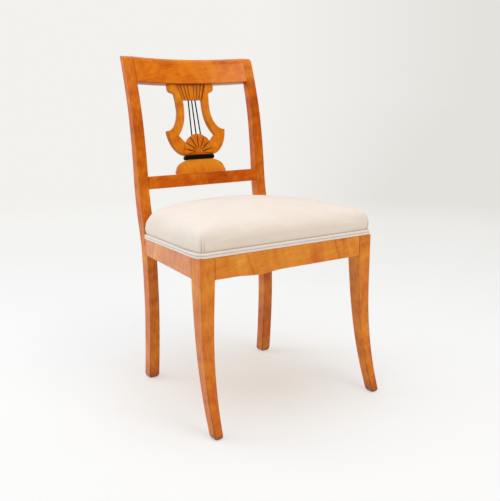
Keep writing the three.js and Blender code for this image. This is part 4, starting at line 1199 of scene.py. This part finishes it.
def satin_birch():
    """French-polished birch: soft flame bands across the grain, long lines, fine fibres, flecks, stains."""
    made = Finish("satin_birch", specular_ior_level=0.3, specular_tint=(1, 0.6, 0.3, 1), coat_roughness=0.25)
    made.feed(made.shader.inputs["Coat Weight"], made.mark("polish"))
    grain, worn = made.mark("grain", "Vector"), made.mark("worn")
    wavy = made.shaken(grain, (7, 7, 3), (0.02, 0.02, 0.03), 1.0)
    slanted = made.add("ShaderNodeVectorRotate", {"Vector": wavy, "Axis": (0, 1, 0), "Angle": -0.35},
                       rotation_type="AXIS_ANGLE")
    patches = made.noise(slanted, (9, 9, 17), 2.0, 0.6)
    bands = made.noise(slanted, (7, 7, 62), 1.5, 0.4)
    mottle = made.noise(slanted, (120, 120, 42))
    lines = made.noise(wavy, (330, 330, 4), 3.0)
    fibres = made.noise(wavy, (1700, 1700, 45))
    flecks = made.spread(made.noise(wavy, (900, 900, 160), 1.0), 0.62, 0.74)
    stains = made.spread(made.noise(slanted, (15, 15, 13)), 0.54, 0.72, 0.0, 0.55)
    shown = made.spread(made.noise(grain, (5, 5, 8), 1.0), 0.4, 0.62, 0.15)
    figure = made.times(made.times(made.mark("figure"), shown), 0.9)
    level = made.sum_of(0.52, (patches, 0.7), (bands, figure), (mottle, 0.4), (lines, 0.34), (fibres, 0.16))
    level = made.times(made.mark("tone"), 0.12, level)
    places = (0.0, 0.3, 0.52, 0.75, 1.0)
    golden = made.ramp(level, places, (
        (150, 58, 0), (194, 93, 1), (219, 125, 13), (230, 146, 34), (239, 169, 66)))
    ruddy = made.ramp(level, places, (
        (148, 52, 0), (193, 84, 0), (218, 116, 9), (229, 137, 30), (238, 161, 64)))
    height = made.axis(made.add("ShaderNodeNewGeometry", {}, "Position"), "Z")
    uneven = made.times(made.noise(grain, (60, 60, 60)), 0.03, height)
    # Rounded edges darker, in patches.
    edge_darkening = made.times(worn, made.spread(patches, 0.35, 0.65, 0.25, 0.08))
    # Dark joint lines, and painted shade in the grooves of the fan and shell, at the lyre's board edges,
    # along the crest rail's lower edge and on the fan under it.
    cavity = made.times(made.mark("cavity"), 0.86)
    # Darker towards the floor: on edges up to about 20 cm, over all the wood up to about 6 cm, and most in
    # the lowest 2 to 3 cm.
    low_edge_darkening = made.times(worn, made.spread(uneven, 0.03, 0.2, 0.9, 0.0))
    low_darkening = made.spread(uneven, 0.012, 0.06, 0.3, 0.0)
    foot_rim = made.spread(uneven, 0.018, 0.027, 0.75, 0.0)
    colour = made.layers(
        made.mix(made.mark("red"), golden, ruddy), (stains, (202, 86, 3)),
        (made.times(flecks, 0.3), (156, 66, 2)), (edge_darkening, (132, 72, 22)), (cavity, (84, 30, 2)),
        (low_edge_darkening, (92, 56, 14)), (low_darkening, (120, 72, 20)), (foot_rim, (84, 52, 18)))
    roughness = made.sum_of(0.31, (patches, 0.1), (fibres, 0.12))
    relief = made.sum_of(0.5, (fibres, 0.6), (bands, 0.4), (lines, 0.3))
    return made.finish(colour, roughness, relief, 0.00012, 0.6)


def dark_polish(name, specular, scale, detail, tones, roughness, unevenness, rubbed=0.0):
    """Nearly black wood with faint streaks, rubbed a little at its edges."""
    made = Finish(name, specular_ior_level=specular)
    streaks = made.noise(made.mark("grain", "Vector"), scale, detail)
    colour = made.ramp(streaks, (0.3, 0.7), tones)
    colour = made.mix(made.times(made.mark("worn"), rubbed), colour, (84, 52, 30))
    return made.finish(colour, made.sum_of(roughness, (streaks, unevenness)), streaks)


def sawn_wood():
    """Unpolished beech blocks inside the seat frame, with flecks and a little dust."""
    made = Finish("block_wood")
    place = made.add("ShaderNodeTexCoord", {}, "Object")
    lines = made.noise(place, (40, 500, 700), 3.0)
    flecks = made.spread(made.noise(place, (260, 1400, 1800), 1.0), 0.6, 0.72)
    age = made.noise(place, (14, 14, 14), 3.0)
    colour = made.ramp(made.sum_of(0.5, (lines, 0.7), (age, 0.8)), (0.1, 0.5, 0.9),
                       ((150, 108, 66), (188, 146, 98), (206, 170, 126)))
    colour = made.mix(made.times(flecks, 0.4), colour, (128, 84, 46))
    return made.finish(colour, made.sum_of(0.72, (age, 0.2)), lines, 0.0004, 0.7)


def screw_steel():
    made = Finish("screw_steel", metallic=1.0)
    place = made.add("ShaderNodeTexCoord", {}, "Object")
    rust = made.spread(made.noise(place, (500, 500, 500), 3.0), 0.5, 0.7)
    colour = made.mix(rust, (150, 148, 144), (112, 78, 56))
    return made.finish(colour, made.spread(rust, 0, 1, 0.32, 0.6), rust)


def weave_height(made, cloth, pitch, share=0.5):
    """Height of a plain weave: threads one way over and under threads the other way."""
    across, along = (made.maths("SINE", made.times(made.axis(cloth, name), pi / pitch)) for name in "XY")
    ribs = made.maths("ADD", made.maths("ABSOLUTE", across), made.maths("ABSOLUTE", along))
    return made.times(made.times(across, along), share, ribs)


def cream_fabric():
    """Fine plain-weave upholstery cloth with slubs and a soft bloom."""
    made = Finish("seat_fabric", sheen_weight=0.25, sheen_roughness=0.45, specular_ior_level=0.25)
    cloth = made.mark("cloth", "Vector")
    weave = weave_height(made, made.shaken(cloth, (40, 40, 40), (0.0006, 0.0006, 0)), 0.00055)
    warp = made.noise(cloth, (900, 30, 1))
    weft = made.noise(cloth, (30, 900, 1))
    soft = made.noise(cloth, (9, 9, 9))
    level = made.sum_of(0.5, (warp, 0.45), (weft, 0.45), (soft, 0.5))
    colour = made.ramp(level, (0.1, 0.5, 0.9), ((230, 219, 210), (241, 232, 225), (246, 240, 235)))
    shade = made.spread(weave, 0.2, 1.8, 0.9, 1.0)
    tint = made.add("ShaderNodeCombineXYZ", {0: shade, 1: shade, 2: shade})
    colour = made.mix(1.0, colour, tint, "MULTIPLY")
    # Painted warm shade down the cover's sides, from none at the top to full a few centimetres down.
    colour = made.mix(made.mark("side"), colour, made.mix(1.0, colour, (255, 251, 245), "MULTIPLY"))
    # Painted shade: the dark line above the piping, the pleat folds and the groove between the piping's
    # cords.
    colour = made.mix(made.times(made.mark("crease_and_painted_shade"), 0.5), colour, (150, 114, 84))
    relief = made.times(warp, 0.6, made.times(weft, 0.6, weave))
    return made.finish(colour, made.sum_of(0.84, (soft, 0.1)), relief, 0.00012, 0.55)


def jute_weave(name, pitch, dark, light, stripes=False):
    """Coarse plain weave with slubs, and with a webbing's two coloured stripes where asked."""
    made = Finish(name, sheen_weight=0.15)
    cloth = made.mark("cloth", "Vector")
    weave = weave_height(made, made.shaken(cloth, (60, 60, 60), (pitch, pitch, 0)), pitch, 0.9)
    slubs = made.noise(cloth, (500, 60, 9), 3.0)
    fuzz = made.noise(cloth, (70, 700, 9), 3.0)
    colour = made.ramp(made.sum_of(0.5, (slubs, 0.6), (fuzz, 0.6)), (0.15, 0.85), (dark, light))
    # Painted shade between the threads: the weave's low points are darkened.
    colour = made.mix(made.spread(weave, 0.0, 1.2, 0.6, 0.0), colour, (70, 52, 32))
    if stripes:
        stripe_place, stripe_half = 0.0165, 0.0016
        line = made.maths("COMPARE", made.maths("ABSOLUTE", made.axis(cloth, "X")), stripe_place, stripe_half)
        colour = made.mix(made.times(line, 0.75), colour, (104, 52, 40))
    return made.finish(colour, 0.92, weave, pitch / 3, 0.8)


# The finish of each kind of piece: its slot's name and its material
fabric = ("seat_fabric", cream_fabric())
finishes = {
    "birch": ("satin_birch", satin_birch()),
    "ebonised": ("ebonised_wood", dark_polish(
        "ebonised_wood", 0.05, (300, 300, 12), 3.0, ((4, 2, 1), (10, 6, 4)), 0.45, 0.15, 0.08)),
    "dark": ("string", dark_polish(
        "string_brown", 0.0, (900, 900, 60), 2.0, ((8, 5, 3), (20, 13, 9)), 0.6, 0.2)),
    "slotted": ("screw_steel", screw_steel()),
    "cushion": fabric,
    "cords": fabric,
    "woven": ("webbing", jute_weave("webbing", 0.0016, (150, 118, 74), (196, 168, 122), stripes=True)),
    "cloth": ("hessian", jute_weave("hessian", 0.0011, (140, 110, 70), (184, 154, 108))),
}
block_wood = sawn_wood()


def chair():
    for side in (-1, 1):
        rear_post(side)
        front_leg(side)
        side_rail(side)
    front_rail()
    rear_rail()
    crest_rail()
    lower_back_rail()
    lyre_board()
    fan_panel()
    shell_carving()
    collar_bar()
    plinth_block()
    for index in (-1, 0, 1):
        lyre_string(index)
    for name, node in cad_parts.items():
        if name.startswith("corner_block"):
            node.data.materials.clear()
            node.data.materials.append(block_wood)
        if name.startswith("block_screw"):
            block_screw(name)
    webbing_straps()
    hessian_cloth()
    cushion()
    both_pipings()


# Camera, floor and light

def photo_camera():
    """Solved from the photograph together with the chair's proportions."""
    place = (-1.0610, -1.5953, 0.7828)
    image_height, focal_pixels = 501, 745.24
    yaw, pitch, roll = -34.48, 12.45, -0.10
    data = bpy.data.cameras.new("photo_camera")
    data.sensor_width = 36
    data.lens = focal_pixels * data.sensor_width / image_height
    data.clip_start, data.clip_end = 0.05, 60
    camera = in_scene("photo_camera", data)
    camera.matrix_world = Matrix.Translation(place)
    for degrees, axis in ((yaw, "Z"), (90 - pitch, "X"), (roll, "Z")):
        camera.matrix_world @= Matrix.Rotation(radians(degrees), 4, axis)
    bpy.context.scene.camera = camera


def seen_directly(made):
    """1 for rays that come from the camera or from gloss and glass, which show the pale background."""
    path = made.tree.nodes.new("ShaderNodeLightPath").outputs
    seen = made.maths("MAXIMUM", path["Is Camera Ray"], path["Is Glossy Ray"])
    return made.maths("MAXIMUM", seen, path["Is Transmission Ray"])


def backdrop_colour(made, direction):
    """A paper background that is a little darker on one side of the room."""
    towards_left = (-0.824, 0.566, 0)
    left = made.vector("DOT_PRODUCT", made.vector("NORMALIZE", direction), towards_left, output="Value")
    return made.mix(made.spread(left, -0.28, -0.02), (228, 226, 221), (242, 241, 238))


def studio_floor():
    """A pale floor that keeps the chair's shadow, lightened by its glow, and turns into the background
    further out.
    """
    sides = 64
    rings = [[(x, y, 0) for x, y in circle(radius, sides)] for radius in (0.6, 1.2, 2.4, 6, 30)]
    points = [(0, 0, 0)] + sum(rings, [])
    faces = [(0, 1 + k, 1 + (k + 1) % sides) for k in range(sides)]
    for a in range(1, len(points) - sides, sides):
        b = a + sides
        faces += [(a + k, b + k, b + (k + 1) % sides, a + (k + 1) % sides) for k in range(sides)]
    mesh = bpy.data.meshes.new("studio_floor")
    mesh.from_pydata(points, [], faces)
    made = Finish("studio_floor", specular_ior_level=0.0)
    place = made.add("ShaderNodeNewGeometry", {}, "Position")
    away = made.vector("LENGTH", place, output="Value")
    speckle = made.spread(made.noise(place, (3, 3, 3)), 0.3, 0.7)
    made.finish(made.mix(speckle, (243, 247, 251), (245, 249, 253)), 0.9)
    # Painted warm light: seen directly, the floor under the chair is tinted warm, standing in for light
    # bounced off the wood.
    near = made.mix(made.spread(away, 0.1, 0.45), (249, 238, 227), (252, 252, 251))
    paper = made.mix(made.spread(away, 0.8, 3.4), near, backdrop_colour(made, place))
    glow = made.add("ShaderNodeEmission", {"Color": paper, "Strength": 1.0})
    # Seen directly, the floor is at least half glow even under the chair, which paints light into the chair's
    # shadow.
    fade = made.times(made.spread(away, 0.7, 2.6, 0.5, 1.0), seen_directly(made))
    mixed = made.add("ShaderNodeMixShader", {0: fade, 1: made.shader.outputs[0], 2: glow})
    made.feed(made.tree.nodes["Material Output"].inputs["Surface"], mixed)
    mesh.materials.append(made.material)
    in_scene("studio_floor", mesh)


def soft_lamp(name, place, size, power, colour=(1, 1, 1)):
    """A rectangular lamp that faces the chair's middle."""
    data = bpy.data.lights.new(name, "AREA")
    data.shape, data.size, data.size_y = "RECTANGLE", *size
    data.energy, data.color = power, colour
    lamp = in_scene(name, data)
    lamp.location = place
    lamp.visible_camera = False
    lamp.rotation_euler = (Vector((0, 0, 0.45)) - Vector(place)).to_track_quat("-Z", "Y").to_euler()


def studio_light():
    world = bpy.data.worlds.new("studio")
    bpy.context.scene.world = world
    world.use_nodes = True
    made = Nodes(world.node_tree)
    direction = made.add("ShaderNodeTexCoord", {}, "Generated")
    ambient = made.add("ShaderNodeBackground", {"Color": (246, 244, 240), "Strength": 0.55})
    shown = made.add("ShaderNodeBackground", {"Color": backdrop_colour(made, direction), "Strength": 1.0})
    mixed = made.add("ShaderNodeMixShader", {0: seen_directly(made), 1: ambient, 2: shown})
    output = next(n for n in made.tree.nodes if n.type == "OUTPUT_WORLD")
    made.feed(output.inputs["Surface"], mixed)
    soft_lamp("overhead", (-0.4, 0.2, 2.6), (2.6, 2.6), 32)
    soft_lamp("left_back", (-2.2, 2.0, 0.9), (1.3, 1.2), 22)
    soft_lamp("front_fill", (0.5, -2.4, 2.4), (1.6, 1.2), 27, (1.0, 0.86, 0.71))
    bpy.context.scene.view_settings.view_transform = "Standard"


photo_camera()
chair()
studio_floor()
studio_light()
